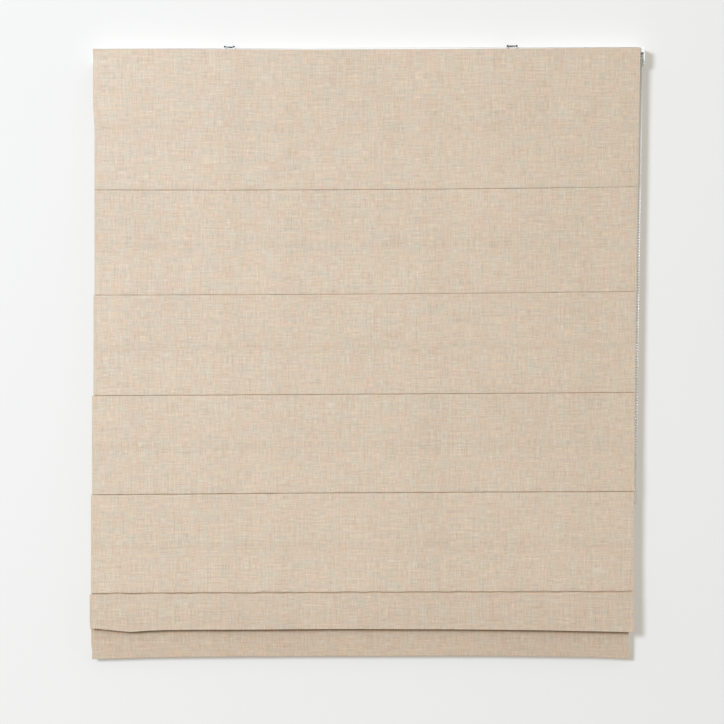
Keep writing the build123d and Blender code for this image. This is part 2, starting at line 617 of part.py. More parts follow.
write("shaft", shaft())
for place, drum_x in zip(("left", "middle", "right"), DRUM_POSITIONS):
    write("drum_" + place, drum(drum_x))
    write("cradle_" + place, cradle(drum_x))
    write("lift_cord_" + place, lift_cord(drum_x))
    write("cord_lock_" + place, cord_lock(drum_x))

for number, crease in enumerate(CREASES, start=1):
    write(f"rod_{number}", rod(crease, 0))
    write(f"rings_{number}", rings(crease, 0))
lowest = len(CREASES) + 1
write(f"rod_{lowest}", rod(LOWEST_CREASE, FOLD_SETBACK))
write(f"rings_{lowest}", rings(LOWEST_CREASE, FOLD_SETBACK))
write("bottom_bar", bottom_bar())

for place, bracket_x in zip(("left", "right"), (-BRACKET_SPACING / 2, BRACKET_SPACING / 2)):
    write("bracket_" + place, bracket(bracket_x))
    write("latch_" + place, latch(bracket_x))
    write("latch_rivet_" + place, rivet(bracket_x))
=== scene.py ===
"""Looks of a linen roman blind with a side bead chain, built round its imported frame."""

import json
import logging
import math
from dataclasses import dataclass, field, replace
from enum import Enum
from typing import Iterable, Optional, Sequence, Union

import bpy
import numpy as np
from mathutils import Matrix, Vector


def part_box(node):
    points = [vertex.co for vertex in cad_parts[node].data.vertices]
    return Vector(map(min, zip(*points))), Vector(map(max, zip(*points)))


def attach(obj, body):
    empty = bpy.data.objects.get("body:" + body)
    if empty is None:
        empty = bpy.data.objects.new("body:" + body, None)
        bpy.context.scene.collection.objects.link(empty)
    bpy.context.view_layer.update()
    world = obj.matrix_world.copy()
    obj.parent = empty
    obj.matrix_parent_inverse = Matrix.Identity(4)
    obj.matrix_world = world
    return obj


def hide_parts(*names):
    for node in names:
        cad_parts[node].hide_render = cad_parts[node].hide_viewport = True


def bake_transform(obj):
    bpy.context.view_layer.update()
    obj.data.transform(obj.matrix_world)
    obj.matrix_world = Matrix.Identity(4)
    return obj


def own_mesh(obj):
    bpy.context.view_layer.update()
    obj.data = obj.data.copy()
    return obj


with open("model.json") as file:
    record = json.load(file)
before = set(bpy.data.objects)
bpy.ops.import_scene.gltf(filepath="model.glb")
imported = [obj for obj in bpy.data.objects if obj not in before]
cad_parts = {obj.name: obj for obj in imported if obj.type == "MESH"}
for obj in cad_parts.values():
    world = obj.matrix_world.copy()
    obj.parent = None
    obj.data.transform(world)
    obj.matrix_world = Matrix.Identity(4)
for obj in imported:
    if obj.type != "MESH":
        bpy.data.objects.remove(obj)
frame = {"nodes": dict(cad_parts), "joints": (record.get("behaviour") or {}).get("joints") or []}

LOG = logging.getLogger("roman_blind")
MM = 0.001
Colour = tuple[float, float, float]
Pairs = tuple[tuple[float, float], ...]
Point = tuple[float, float, float]
Array = np.ndarray
Node = bpy.types.Node
Socket = bpy.types.NodeSocket
Material = bpy.types.Material
Object = bpy.types.Object
SIDES = ("left", "middle", "right")


class Look(Enum):
    """Which side of the cloth a weave is for."""

    FACE = "face"
    BACK = "back"


class Part(Enum):
    """The record's material slots that new pieces take their finish from."""

    CLOTH = "cloth"
    CORD = "cord"
    CHAIN = "chain"


# ----------------------------------------------------------------------------- shader tools


class Value:
    """A number socket that can be used in sums, so that an expression adds its own nodes."""

    def __init__(self, shader: "Shader", socket: Socket) -> None:
        """Wraps one output socket of a shader."""
        self.shader = shader
        self.socket = socket

    def _math(self, operation: str, *values: Union["Value", float]) -> "Value":
        """Adds one Math node.

        Args:
            operation: the Math node's operation.
            values: its inputs in order.

        Returns:
            The node's result.
        """
        inputs = dict(enumerate(values))
        return self.shader.value("ShaderNodeMath", {"operation": operation}, inputs)

    def __add__(self, other: Union["Value", float]) -> "Value":
        """self + other."""
        return self._math("ADD", self, other)

    def __radd__(self, other: float) -> "Value":
        """other + self."""
        return self._math("ADD", other, self)

    def __sub__(self, other: Union["Value", float]) -> "Value":
        """self - other."""
        return self._math("SUBTRACT", self, other)

    def __rsub__(self, other: float) -> "Value":
        """other - self."""
        return self._math("SUBTRACT", other, self)

    def __mul__(self, other: Union["Value", float]) -> "Value":
        """self * other."""
        return self._math("MULTIPLY", self, other)

    def __rmul__(self, other: float) -> "Value":
        """other * self."""
        return self._math("MULTIPLY", other, self)

    def __abs__(self) -> "Value":
        """The size without the sign."""
        return self._math("ABSOLUTE", self)

    def sine(self) -> "Value":
        """The sine of the value in radians."""
        return self._math("SINE", self)

    def over(self, low: float, high: float) -> "Value":
        """Rises from 0 at low to 1 at high, softly, and stays there.

        Args:
            low: where the result leaves 0.
            high: where it reaches 1.

        Returns:
            The result.
        """
        settings = {"interpolation_type": "SMOOTHSTEP"}
        inputs = {"Value": self, "From Min": low, "From Max": high}
        return self.shader.value("ShaderNodeMapRange", settings, inputs)


class Shader:
    """One material's node tree, with a Principled shader at its end."""

    def __init__(self, name: str) -> None:
        """Starts a material with an empty Principled shader.

        Args:
            name: the material's name.
        """
        self.material = bpy.data.materials.new(name)
        self.material.use_nodes = True
        self.tree = self.material.node_tree
        self.surface = self.tree.nodes["Principled BSDF"]

    def node(
        self, kind: str, settings: Optional[dict] = None, inputs: Optional[dict] = None
    ) -> Node:
        """Adds one node.

        Args:
            kind: the node's type.
            settings: its properties, set first.
            inputs: values, links or wrapped values for its sockets, by name or number.

        Returns:
            The new node.
        """
        made = self.tree.nodes.new(kind)
        for key, setting in (settings or {}).items():
            setattr(made, key, setting)
        for key, given in (inputs or {}).items():
            self.feed(made.inputs[key], given)
        return made

    def feed(self, socket: Socket, given: object) -> None:
        """Sets or links one input socket.

        Args:
            socket: the input.
            given: a number, a colour, an output socket or a wrapped value.
        """
        source = given.socket if isinstance(given, Value) else given
        if isinstance(source, Socket):
            self.tree.links.new(source, socket)
        elif isinstance(source, tuple) and socket.type == "RGBA":
            socket.default_value = (*source, 1.0)
        else:
            socket.default_value = source

    def value(
        self,
        kind: str,
        settings: Optional[dict] = None,
        inputs: Optional[dict] = None,
        out: int = 0,
    ) -> Value:
        """Adds one node as node() does, and wraps its output of the given number."""
        return Value(self, self.node(kind, settings, inputs).outputs[out])

    def place(self, output: str, scale: Sequence[float]) -> Socket:
        """Texture coordinates times a scale.

        Args:
            output: UV or Object.
            scale: the factor on each axis.

        Returns:
            A vector socket.
        """
        return self.product(self.node("ShaderNodeTexCoord").outputs[output], tuple(scale))

    def noise(self, where: Socket, detail: float = 1.0, seed: float = 0.0) -> Value:
        """Smooth noise round 0, mostly between -0.3 and 0.3.

        Args:
            where: the vector it is read at.
            detail: how much finer noise is added.
            seed: which of many patterns.

        Returns:
            The noise.
        """
        inputs = {"Vector": where, "W": seed, "Scale": 1.0, "Detail": detail, "Roughness": 0.5}
        return self.value("ShaderNodeTexNoise", {"noise_dimensions": "4D"}, inputs) - 0.5

    def mix(self, share: Union[Value, float], first: object, second: object) -> Socket:
        """A colour between two colours, by share."""
        inputs = {0: share, 6: first, 7: second}
        return self.node("ShaderNodeMix", {"data_type": "RGBA"}, inputs).outputs[2]

    def scaled(self, colour: object, factor: Value) -> Socket:
        """A colour made lighter or darker by a factor."""
        inputs = {0: colour, "Scale": factor}
        return self.node("ShaderNodeVectorMath", {"operation": "SCALE"}, inputs).outputs[0]

    def product(self, first: object, second: object) -> Socket:
        """Two colours or vectors multiplied part by part."""
        inputs = {0: first, 1: second}
        return self.node("ShaderNodeVectorMath", {"operation": "MULTIPLY"}, inputs).outputs[0]

    def bump(self, height: Value, distance: float, strength: float = 1.0) -> None:
        """Feeds a height into the surface's normal.

        Args:
            height: the height, about 0 to 1.
            distance: how high 1 stands, in metres.
            strength: the share of it that is used.
        """
        inputs = {"Height": height, "Distance": distance, "Strength": strength}
        made = self.node("ShaderNodeBump", None, inputs)
        self.feed(self.surface.inputs["Normal"], made.outputs[0])

    def finish(self, colour: object, roughness: object, **constants: float) -> Material:
        """Feeds the Principled shader and gives the material.

        Args:
            colour: a colour or a link.
            roughness: a number or a value.
            constants: other Principled sockets, with underscores for spaces.

        Returns:
            The finished material.
        """
        self.feed(self.surface.inputs["Base Color"], colour)
        self.feed(self.surface.inputs["Roughness"], roughness)
        for key, number in constants.items():
            self.surface.inputs[key.replace("_", " ")].default_value = number
        return self.material


class Air(Shader):
    """The node tree of the light that fills the room."""

    def __init__(self, world: bpy.types.World) -> None:
        """Starts from the world's Background shader.

        Args:
            world: the new world.
        """
        world.use_nodes = True
        self.tree = world.node_tree
        self.surface = self.tree.nodes["Background"]


# ----------------------------------------------------------------------------- finishes


@dataclass(frozen=True)
class Linen:
    """The slubby plain weave of the blind, for one side of the cloth.

    The fold and the hem take darker copies of the weave, which is painted shade.
    The weave is painted browner in the creases and just below the fold's edge, a painted shade,
    and lighter along the fold's bottom edge, a painted highlight.
    """

    look: Look
    name: str = "section"
    # painted shade: the darker tint of the fold's and the hem's copies of the weave
    depth: Colour = (1.0, 1.0, 1.0)
    # the browner colour of the painted shade in the creases and just below the fold's edge
    painted_shade_tint: Colour = (0.88, 0.75, 0.61)
    # how much lighter the painted highlight along the fold's bottom edge is
    painted_highlight: float = 0.06
    base: Colour = (0.551, 0.447, 0.338)
    rosy: Colour = (0.574, 0.404, 0.292)
    grey: Colour = (0.522, 0.462, 0.356)
    straw: Colour = (0.603, 0.465, 0.310)
    cream: Colour = (0.647, 0.569, 0.478)
    umber: Colour = (0.388, 0.274, 0.186)
    thread: float = 0.62 * MM

    def material(self) -> Material:
        """Builds the weave from its coordinates along and across the cloth.

        Returns:
            The material.
        """
        made = Shader(f"linen_{self.look.value}_{self.name}")
        contrast = 1.0 if self.look is Look.FACE else 0.6
        weft = made.noise(made.place("UV", (13, 560, 0)), 1.0, 1.0)
        warp = made.noise(made.place("UV", (560, 11, 0)), 1.0, 2.0)
        weft_slub = made.noise(made.place("UV", (22, 260, 0)), 0.0, 3.0)
        warp_slub = made.noise(made.place("UV", (260, 20, 0)), 0.0, 4.0)
        yarn_weft = made.noise(made.place("UV", (60, 1600, 0)), 0.0, 5.0)
        yarn_warp = made.noise(made.place("UV", (1600, 60, 0)), 0.0, 6.0)
        patch = made.noise(made.place("UV", (46, 38, 0)), 3.0, 7.0)
        cloud = made.noise(made.place("UV", (4.5, 4.5, 0)), 1.0, 8.0)

        blush = (patch + yarn_weft * 0.5).over(-0.12, 0.16)
        colour = made.mix(blush * 0.6 * contrast, self.base, self.rosy)
        colour = made.mix((warp - patch * 0.5).over(-0.02, 0.2) * 0.8 * contrast, colour, self.grey)
        colour = made.mix(weft.over(0.0, 0.22) * 0.5 * contrast, colour, self.straw)
        colour = made.mix(weft_slub.over(0.04, 0.3) * 0.24 * contrast, colour, self.cream)
        colour = made.mix(warp_slub.over(0.06, 0.3) * 0.22 * contrast, colour, self.cream)
        dark = (0 - weft_slub).over(0.08, 0.3) * 0.2 + (0 - warp_slub).over(0.08, 0.3) * 0.2
        colour = made.mix(dark * contrast, colour, self.umber)
        tone = (weft + warp) * 0.26 + (yarn_weft + yarn_warp) * 0.5 + patch * 0.08 + cloud * 0.1
        # Painted light read per point: above 0 painted shade, below 0 a painted highlight.
        wear = made.value("ShaderNodeAttribute", {"attribute_name": "wear"}, out=2)
        colour = made.scaled(colour, 1 + tone * contrast + (0 - wear).over(0.0, 1.0) * self.painted_highlight)
        painted_shade_tint = tuple(a * b for a, b in zip(self.depth, self.painted_shade_tint))
        colour = made.product(colour, made.mix(wear.over(0.0, 1.0), self.depth, painted_shade_tint))

        turns = math.pi / self.thread
        across = made.node("ShaderNodeSeparateXYZ", None, {0: made.place("UV", (turns, turns, 1))})
        crossing = Value(made, across.outputs[0]).sine() * Value(made, across.outputs[1]).sine()
        height = crossing * 0.3 + (weft_slub + warp_slub) * 0.8 + (yarn_weft + yarn_warp) * 0.8
        made.bump(height, 0.12 * MM, 0.8)
        return made.finish(colour, 0.5 - weft_slub * 0.1, Sheen_Weight=0.1, Specular_IOR_Level=0.5)


@dataclass(frozen=True)
class Moulded:
    """Moulded plastic with faint flow marks and a fine satin skin."""

    name: str
    colour: Colour
    roughness: float = 0.38
    grain: float = 0.02
    clear: float = 0.0

    def material(self) -> Material:
        """Builds the plastic.

        Returns:
            The material.
        """
        made = Shader(self.name)
        flow = made.noise(made.place("Object", (90, 180, 140)), 2.0, 1.0)
        skin = made.noise(made.place("Object", (2600, 2600, 2600)), 1.0, 2.0)
        # the plastic's own dust: darker, rougher spots
        dust_and_painted_shade = made.noise(made.place("Object", (420, 420, 420)), 2.0, 3.0)
        colour = made.scaled(self.colour, 1 + flow * 0.06 - dust_and_painted_shade.over(0.12, 0.3) * 0.08)
        made.bump(skin + flow, self.grain * MM, 0.6)
        rough = self.roughness + flow * 0.12 + dust_and_painted_shade.over(0.05, 0.25) * 0.1
        return made.finish(colour, rough, Transmission_Weight=self.clear, IOR=1.49)


@dataclass(frozen=True)
class Enamel:
    """White powder coat with its slight orange peel."""

    name: str = "powder_coat"
    colour: Colour = (0.84, 0.84, 0.82)

    def material(self) -> Material:
        """Builds the coat.

        Returns:
            The material.
        """
        made = Shader(self.name)
        peel = made.noise(made.place("Object", (900, 900, 900)), 1.0, 1.0)
        streak = made.noise(made.place("Object", (6, 300, 300)), 2.0, 2.0)
        colour = made.scaled(self.colour, 1 + streak * 0.04)
        made.bump(peel, 0.03 * MM, 0.5)
        return made.finish(colour, 0.36 + peel * 0.1 + streak * 0.1)


@dataclass(frozen=True)
class Metal:
    """Bare metal, brushed along the rail or spangled with zinc."""

    name: str
    colour: Colour
    roughness: float = 0.34
    brushed: Point = (12.0, 900.0, 900.0)
    hook_centre: float = 0.0
    hook_inner: float = 0.0
    hook_low: float = 0.0
    hook_front: float = -36.0 * MM
    coat: Colour = (0.012, 0.012, 0.014)
    edge: float = 0.1 * MM

    def material(self) -> Material:
        """Builds the metal, with dark hook ends where a hook is given.

        Returns:
            The material.
        """
        made = Shader(self.name)
        brush = made.noise(made.place("Object", self.brushed), 2.0, 1.0)
        spangle = made.noise(made.place("Object", (260, 260, 260)), 2.0, 2.0)
        colour = made.scaled(self.colour, 1 + brush * 0.2 + spangle * 0.16)
        metal: Union[Value, float] = 1.0
        rough = self.roughness + brush * 0.25 + spangle.over(0.0, 0.3) * 0.1
        if self.hook_inner:
            place = made.node("ShaderNodeSeparateXYZ", None, {0: made.place("Object", (1, 1, 1))})
            across = abs(abs(Value(made, place.outputs[0])) - self.hook_centre)
            depth, height = Value(made, place.outputs[1]), Value(made, place.outputs[2])
            coat = across.over(self.hook_inner, self.hook_inner + self.edge)
            coat = coat * height.over(self.hook_low, self.hook_low + self.edge)
            coat = coat * (1 - depth.over(self.hook_front, self.hook_front + self.edge))
            colour = made.mix(coat, colour, self.coat)
            metal = 1 - coat
            rough = rough + coat * 0.15
        made.feed(made.surface.inputs["Metallic"], metal)
        made.bump(brush, 0.02 * MM, 0.5)
        return made.finish(colour, rough)


@dataclass(frozen=True)
class Pile:
    """The hook tape or loop tape, a dense nap in rows."""

    name: str
    colour: Colour = (0.82, 0.81, 0.77)
    pitch: float = 0.8

    def material(self) -> Material:
        """Builds the nap.

        Returns:
            The material.
        """
        made = Shader(self.name)
        scale = 1000 / self.pitch
        inputs = {"Vector": made.place("Object", (scale, scale, scale)), "Scale": 1.0}
        nap = made.value("ShaderNodeTexVoronoi", None, inputs)
        fluff = made.noise(made.place("Object", (300, 300, 300)), 3.0, 1.0)
        colour = made.scaled(self.colour, 1.05 - nap * 0.35 + fluff * 0.3)
        made.bump(1 - nap, 0.35 * MM, 0.8)
        return made.finish(colour, 0.88 + fluff * 0.1, Sheen_Weight=0.3)


@dataclass(frozen=True)
class Braid:
    """A braided or twisted textile cord, read along and round the cord."""

    name: str
    colour: Colour = (0.82, 0.80, 0.75)
    length: float = 1.6 * MM
    strands: int = 4

    def material(self) -> Material:
        """Builds the braid from strands that cross in two directions.

        Returns:
            The material.
        """
        made = Shader(self.name)
        around, along = 2 * math.pi * self.strands, 2 * math.pi / self.length
        parts = made.node("ShaderNodeSeparateXYZ", None, {0: made.place("UV", (around, along, 1))})
        turn, run = Value(made, parts.outputs[0]), Value(made, parts.outputs[1])
        weave = (turn + run).sine() * (turn - run).sine()
        lint = made.noise(made.place("UV", (40, 2500, 1)), 2.0, 1.0)
        colour = made.scaled(self.colour, 0.95 + weave * 0.1 + lint * 0.15)
        made.bump(weave, 0.12 * MM, 0.8)
        return made.finish(colour, 0.78 + lint * 0.1, Sheen_Weight=0.2)


# ----------------------------------------------------------------------------- mesh tools


@dataclass
class Mesh:
    """Collects points, faces and their coordinates for one object."""

    name: str
    points: list = field(default_factory=list)
    faces: list = field(default_factory=list)
    uvs: list = field(default_factory=list)
    indices: list = field(default_factory=list)
    # painted shade above 0 and painted highlight below 0, for each point
    wear: Optional[Array] = None
    count: int = 0

    def grid(
        self, points: Array, uvs: Array, slot: int = 0, wrap: bool = False, flip: bool = False
    ) -> int:
        """Adds a grid of quads.

        Args:
            points: rows x columns x 3.
            uvs: rows x columns x 2.
            slot: which material.
            wrap: joins the last row to the first.
            flip: turns the faces round.

        Returns:
            The number of the grid's first point.
        """
        rows, columns = points.shape[:2]
        start = self.count
        numbers = start + np.arange(rows * columns).reshape(rows, columns)
        if wrap:
            numbers = np.vstack([numbers, numbers[:1]])
        around = (numbers[:-1, :-1], numbers[1:, :-1], numbers[1:, 1:], numbers[:-1, 1:])
        quads = np.stack(around, -1).reshape(-1, 4)
        self.add(points.reshape(-1, 3), uvs.reshape(-1, 2), quads[:, ::-1] if flip else quads, slot)
        return start

    def add(self, points: Array, uvs: Array, quads: Array, slot: int = 0) -> None:
        """Adds points with their coordinates, and faces.

        Args:
            points: points x 3.
            uvs: points x 2.
            quads: faces x 4, by the points' numbers in the whole mesh.
            slot: which material.
        """
        self.points.append(points)
        self.uvs.append(uvs)
        self.faces.extend(quads.tolist())
        self.indices.extend([slot] * len(quads))
        self.count += len(points)

    def build(self, *materials: Material, sharp: float = 40.0) -> Object:
        """Makes the object.

        Args:
            materials: one for each slot.
            sharp: edges bent by more than this many degrees stay crisp.

        Returns:
            The linked object.
        """
        data = bpy.data.meshes.new(self.name)
        data.from_pydata(np.concatenate(self.points).tolist(), [], self.faces)
        for material in materials:
            data.materials.append(material)
        data.polygons.foreach_set("material_index", self.indices)
        data.polygons.foreach_set("use_smooth", [True] * len(data.polygons))
        layer = data.uv_layers.new(name="cloth")
        loops = np.zeros(len(data.loops), np.int64)
        data.loops.foreach_get("vertex_index", loops)
        layer.data.foreach_set("uv", np.concatenate(self.uvs)[loops].astype(np.float32).ravel())
        if self.wear is not None:
            painted_layer = data.attributes.new("wear", "FLOAT", "POINT")
            painted_layer.data.foreach_set("value", self.wear.astype(np.float32))
        data.set_sharp_from_angle(angle=math.radians(sharp))
        data.update()
        made = bpy.data.objects.new(self.name, data)
        bpy.context.scene.collection.objects.link(made)
        return made


@dataclass
class Ripple:
    """A seeded, smooth, repeatable unevenness along the cloth's width."""

    seed: int
    size: float
    longest: float
    shortest: float
    waves: int = 6

    def __call__(self, across: Array) -> Array:
        """Reads the unevenness.

        Args:
            across: places across the cloth, in metres.

        Returns:
            Metres at each place.
        """
        rng = np.random.default_rng(self.seed)
        lengths = np.geomspace(self.longest, self.shortest, self.waves)
        phases = rng.uniform(0, 2 * math.pi, self.waves)
        waves = zip(lengths, phases)
        total = sum(np.sin(2 * math.pi * across / length + phase) for length, phase in waves)
        return self.size * total / math.sqrt(self.waves / 2)


def table(pairs: Pairs, at: Array) -> Array:
    """Reads a small table of places and millimetres, rounded off between its rows.

    Args:
        pairs: place and millimetres.
        at: where it is read.

    Returns:
        Metres at each place.
    """
    places, sizes = zip(*pairs)
    found = np.interp(at, places, sizes)
    if len(at) > 4:
        padded = np.concatenate([found[:1], found, found[-1:]])
        found = (padded[:-2] + 2 * padded[1:-1] + padded[2:]) / 4
    return found * MM


def squared(wave: Array, power: float = 0.45) -> Array:
    """Turns a sine or cosine into one that gives a rounded square in place of a circle."""
    return np.sign(wave) * np.abs(np.clip(wave, -1, 1)) ** power


def smooth(share: Array) -> Array:
    """The soft step from 0 to 1."""
    t = np.clip(share, 0, 1)
    return t * t * (3 - 2 * t)


def quarter_round(radius: float, rows: int) -> tuple[Array, Array]:
    """The quarter circle by which the cloth turns into a crease, from its inner end outwards.

    Args:
        radius: the circle's radius.
        rows: how many rows it has.

    Returns:
        How far each row lies behind the face, and how far from the crease.
    """
    theta = np.linspace(math.pi / 2, 0, rows, endpoint=False)[:, None]
    return radius * (1 - np.cos(theta)), radius * (1 - np.sin(theta))


def sheet_from(name: str, face: Array, uvs: Array, thick: Array, wear: Array) -> Mesh:
    """A closed thin sheet behind a grid of face points.

    Args:
        name: the piece's name.
        face: rows x columns x 3, rows from top to bottom and columns to the right.
        uvs: rows x columns x 2.
        thick: the thickness at each point.
        wear: painted shade at each point, or below 0 a painted highlight on an edge.

    Returns:
        The sheet, with the back in the second slot.
    """
    down = np.gradient(face, axis=0)
    right = np.gradient(face, axis=1)
    normal = np.cross(down, right)
    normal /= np.linalg.norm(normal, axis=2, keepdims=True)
    back = face - normal * thick[..., None]
    mesh = Mesh(name)
    first = mesh.grid(face, uvs)
    second = mesh.grid(back, uvs, slot=1, flip=True)
    rows, columns = face.shape[:2]
    numbers = np.arange(rows * columns).reshape(rows, columns)
    rim = np.concatenate([numbers[:-1, 0], numbers[-1, :-1], numbers[:0:-1, -1], numbers[0, :0:-1]])
    following = np.roll(rim, -1)
    mesh.add(
        np.zeros((0, 3)),
        np.zeros((0, 2)),
        np.stack([first + following, first + rim, second + rim, second + following], -1),
    )
    mesh.wear = np.concatenate([wear.ravel(), np.zeros(wear.size)])
    return mesh


def tube_along(mesh: Mesh, line: Array, radius: float, sides: int, closed: bool = False) -> None:
    """Adds a round tube that follows a line of points.

    Args:
        mesh: what it is added to.
        line: points x 3.
        radius: the tube's radius.
        sides: how many sides it has.
        closed: joins the end to the start.
    """
    if closed:
        ahead = np.roll(line, -1, axis=0) - np.roll(line, 1, axis=0)
    else:
        ahead = np.gradient(line, axis=0)
    ahead /= np.linalg.norm(ahead, axis=1, keepdims=True)
    aside = np.cross(ahead, np.array([0.9, 0.1, 0.42]))
    aside /= np.linalg.norm(aside, axis=1, keepdims=True)
    third = np.cross(ahead, aside)
    angles = np.linspace(0, 2 * math.pi, sides, endpoint=False)
    ring = (
        line[:, None]
        + radius * np.cos(angles)[None, :, None] * aside[:, None]
        + radius * np.sin(angles)[None, :, None] * third[:, None]
    )
    run = np.concatenate([[0], np.cumsum(np.linalg.norm(np.diff(line, axis=0), axis=1))])
    uvs = np.stack(np.broadcast_arrays(angles[None, :] / (2 * math.pi), run[:, None]), -1)
    ring = np.concatenate([ring, ring[:, :1]], axis=1)
    uvs = np.concatenate([uvs, uvs[:, :1] + (1, 0)], axis=1)
    start = mesh.grid(ring, uvs, wrap=closed)
    if not closed:
        columns = sides + 1
        last = start + (len(line) - 1) * columns
        mesh.faces.append([start + n for n in range(sides)])
        mesh.faces.append([last + n for n in range(sides)][::-1])
        mesh.indices.extend([0, 0])


# ----------------------------------------------------------------------------- what is where


@dataclass
class Place:
    """The frame's own places, read from its nodes."""

    cloth_low: Vector = field(init=False)
    cloth_high: Vector = field(init=False)
    rods: list = field(init=False)
    rings: list = field(init=False)
    joints: dict = field(init=False)

    def __post_init__(self) -> None:
        """Reads the boxes of the cloth, the rods and the rings."""
        self.cloth_low, self.cloth_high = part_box("face_cloth")
        self.rods = [self.centre(f"rod_{n}") for n in range(1, 7)]
        self.rings = [self.centre(f"rings_{n}") for n in range(1, 7)]
        self.joints = {joint["name"]: joint for joint in frame["joints"]}

    @staticmethod
    def centre(node: str) -> Vector:
        """The middle of a node's box."""
        low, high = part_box(node)
        return (low + high) / 2

    @property
    def front(self) -> float:
        """The cloth's face."""
        return self.cloth_low.y

    @property
    def width(self) -> float:
        """The cloth's width."""
        return self.cloth_high.x - self.cloth_low.x

    @property
    def creases(self) -> list[float]:
        """The heights of the six creases."""
        return [rod.z for rod in self.rods]


# ----------------------------------------------------------------------------- cords


@dataclass
class Route:
    """The three lift cords, each cut into spans at the creases."""

    name: str
    points: Sequence[Sequence[float]]
    steps: int = 24

    def curve(self, radius: float = 0.0) -> Object:
        """Makes the spline.

        Args:
            radius: how thick the curve is drawn, or 0 for a bare line.

        Returns:
            The curve object.
        """
        data = bpy.data.curves.new(self.name, "CURVE")
        data.dimensions = "3D"
        data.resolution_u = self.steps
        data.bevel_depth = radius
        data.bevel_resolution = 4
        data.use_fill_caps = radius > 0
        spline = data.splines.new("NURBS")
        spline.points.add(len(self.points) - 1)
        for point, place in zip(spline.points, self.points):
            point.co = (*place, 1.0)
        spline.order_u = 3
        spline.use_endpoint_u = True
        made = bpy.data.objects.new(self.name, data)
        bpy.context.scene.collection.objects.link(made)
        return made

    def line(self) -> Array:
        """Reads the smooth line from a bare copy of the spline.

        Returns:
            points x 3.
        """
        bare = self.curve()
        mesh = bpy.data.meshes.new_from_object(bare)
        found = np.array([vertex.co for vertex in mesh.vertices], float)
        curve = bare.data
        bpy.data.objects.remove(bare)
        bpy.data.curves.remove(curve)
        bpy.data.meshes.remove(mesh)
        return found


@dataclass
class BeadChain:
    """The endless bead chain: a thin cord with moulded beads, hung over the chain wheel."""

    bead_radius: float = 2.25 * MM
    pitch: float = 6.0 * MM
    string_radius: float = 0.55 * MM
    length: float = 1.992
    rings: int = 8
    sectors: int = 14
    pole: float = 0.16

    def route(self) -> list[Point]:
        """The loop's route, starting and ending on the wheel's crown.

        Returns:
            The spline's points.
        """
        low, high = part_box("bead_chain")
        r = self.bead_radius
        x, near, far = high.x - r, low.y + r, high.y - r
        top, bottom = high.z - r, low.z + r
        axis_y, reach = (near + far) / 2, (far - near) / 2
        foot = x - 15.6 * MM
        front = [
            (x, axis_y, top),
            (x, near, top),
            (x, near, top - 2 * reach),
            (x + 0.4 * MM, near, -0.075),
            (x - 2.8 * MM, near - 0.3 * MM, -0.246),
            (x - 4.9 * MM, near + 0.3 * MM, -0.366),
            (x - 9.2 * MM, near, -0.590),
            (x - 12.4 * MM, near + 0.4 * MM, -0.801),
            (x - 14.6 * MM, near, -0.905),
            (foot - 3.4 * MM, near + 0.6 * MM, bottom + 2.2 * reach),
            (foot - 4.2 * MM, near + 1.0 * MM, bottom),
        ]
        rear = [
            (foot + 4.2 * MM, far - 1.0 * MM, bottom),
            (foot + 3.4 * MM, far - 0.6 * MM, bottom + 2.4 * reach),
            (x - 14.0 * MM, far, -0.895),
            (x - 12.0 * MM, far + 0.3 * MM, -0.760),
            (x - 8.0 * MM, far, -0.540),
            (x - 4.4 * MM, far - 0.3 * MM, -0.330),
            (x - 1.4 * MM, far + 0.2 * MM, -0.200),
            (x + 0.6 * MM, far, -0.070),
            (x, far, top - 2 * reach),
            (x, far, top),
            (x, axis_y, top),
        ]
        return front + rear

    def bead(self) -> tuple[Array, Array]:
        """One bead, from pole to pole.

        Returns:
            Its points and their coordinates, both in rows and columns.
        """
        polar = np.linspace(self.pole, math.pi - self.pole, self.rings)
        around = np.linspace(0, 2 * math.pi, self.sectors + 1)
        along, out = np.cos(polar)[:, None], np.sin(polar)[:, None]
        sides = np.broadcast_arrays(along, out * np.cos(around), out * np.sin(around))
        points = np.stack(sides, -1)
        uvs = np.stack(np.broadcast_arrays(around[None, :], polar[:, None]), -1) * self.bead_radius
        return points * self.bead_radius, uvs

    def build(self, string: Material, plastic: Material) -> None:
        """Args:
            string: the cord's finish.
            plastic: the beads' finish.
        """
        route = Route("chain_string", self.route(), 30)
        line = route.line()
        cord = route.curve(self.string_radius)
        cord.data.materials.append(string)
        steps = np.linalg.norm(np.diff(line, axis=0), axis=1)
        run = np.concatenate([[0], np.cumsum(steps)])
        number = round(run[-1] / self.pitch)
        places = (np.arange(number) + 0.5) * run[-1] / number
        centres = np.stack([np.interp(places, run, line[:, axis]) for axis in range(3)], -1)
        ahead = np.roll(centres, -1, axis=0) - np.roll(centres, 1, axis=0)
        ahead /= np.linalg.norm(ahead, axis=1, keepdims=True)
        aside = np.cross(ahead, np.array([1.0, 0.05, 0.0]))
        aside /= np.linalg.norm(aside, axis=1, keepdims=True)
        third = np.cross(ahead, aside)
        points, uvs = self.bead()
        mesh = Mesh("chain_beads")
        columns = self.sectors + 1
        for centre, u, v, w in zip(centres, ahead, aside, third):
            start = mesh.grid(centre + points @ np.stack([u, v, w]), uvs, flip=True)
            last = start + (self.rings - 1) * columns
            mesh.faces.append([start + n for n in range(self.sectors)][::-1])
            mesh.faces.append([last + n for n in range(self.sectors)])
            mesh.indices.extend([0, 0])
        beads = mesh.build(plastic, sharp=60)
        for piece in (cord, beads):
            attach(piece, "headrail")
        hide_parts("bead_chain")
        LOG.info("bead chain: %d beads on %.3f m of cord", number, run[-1])


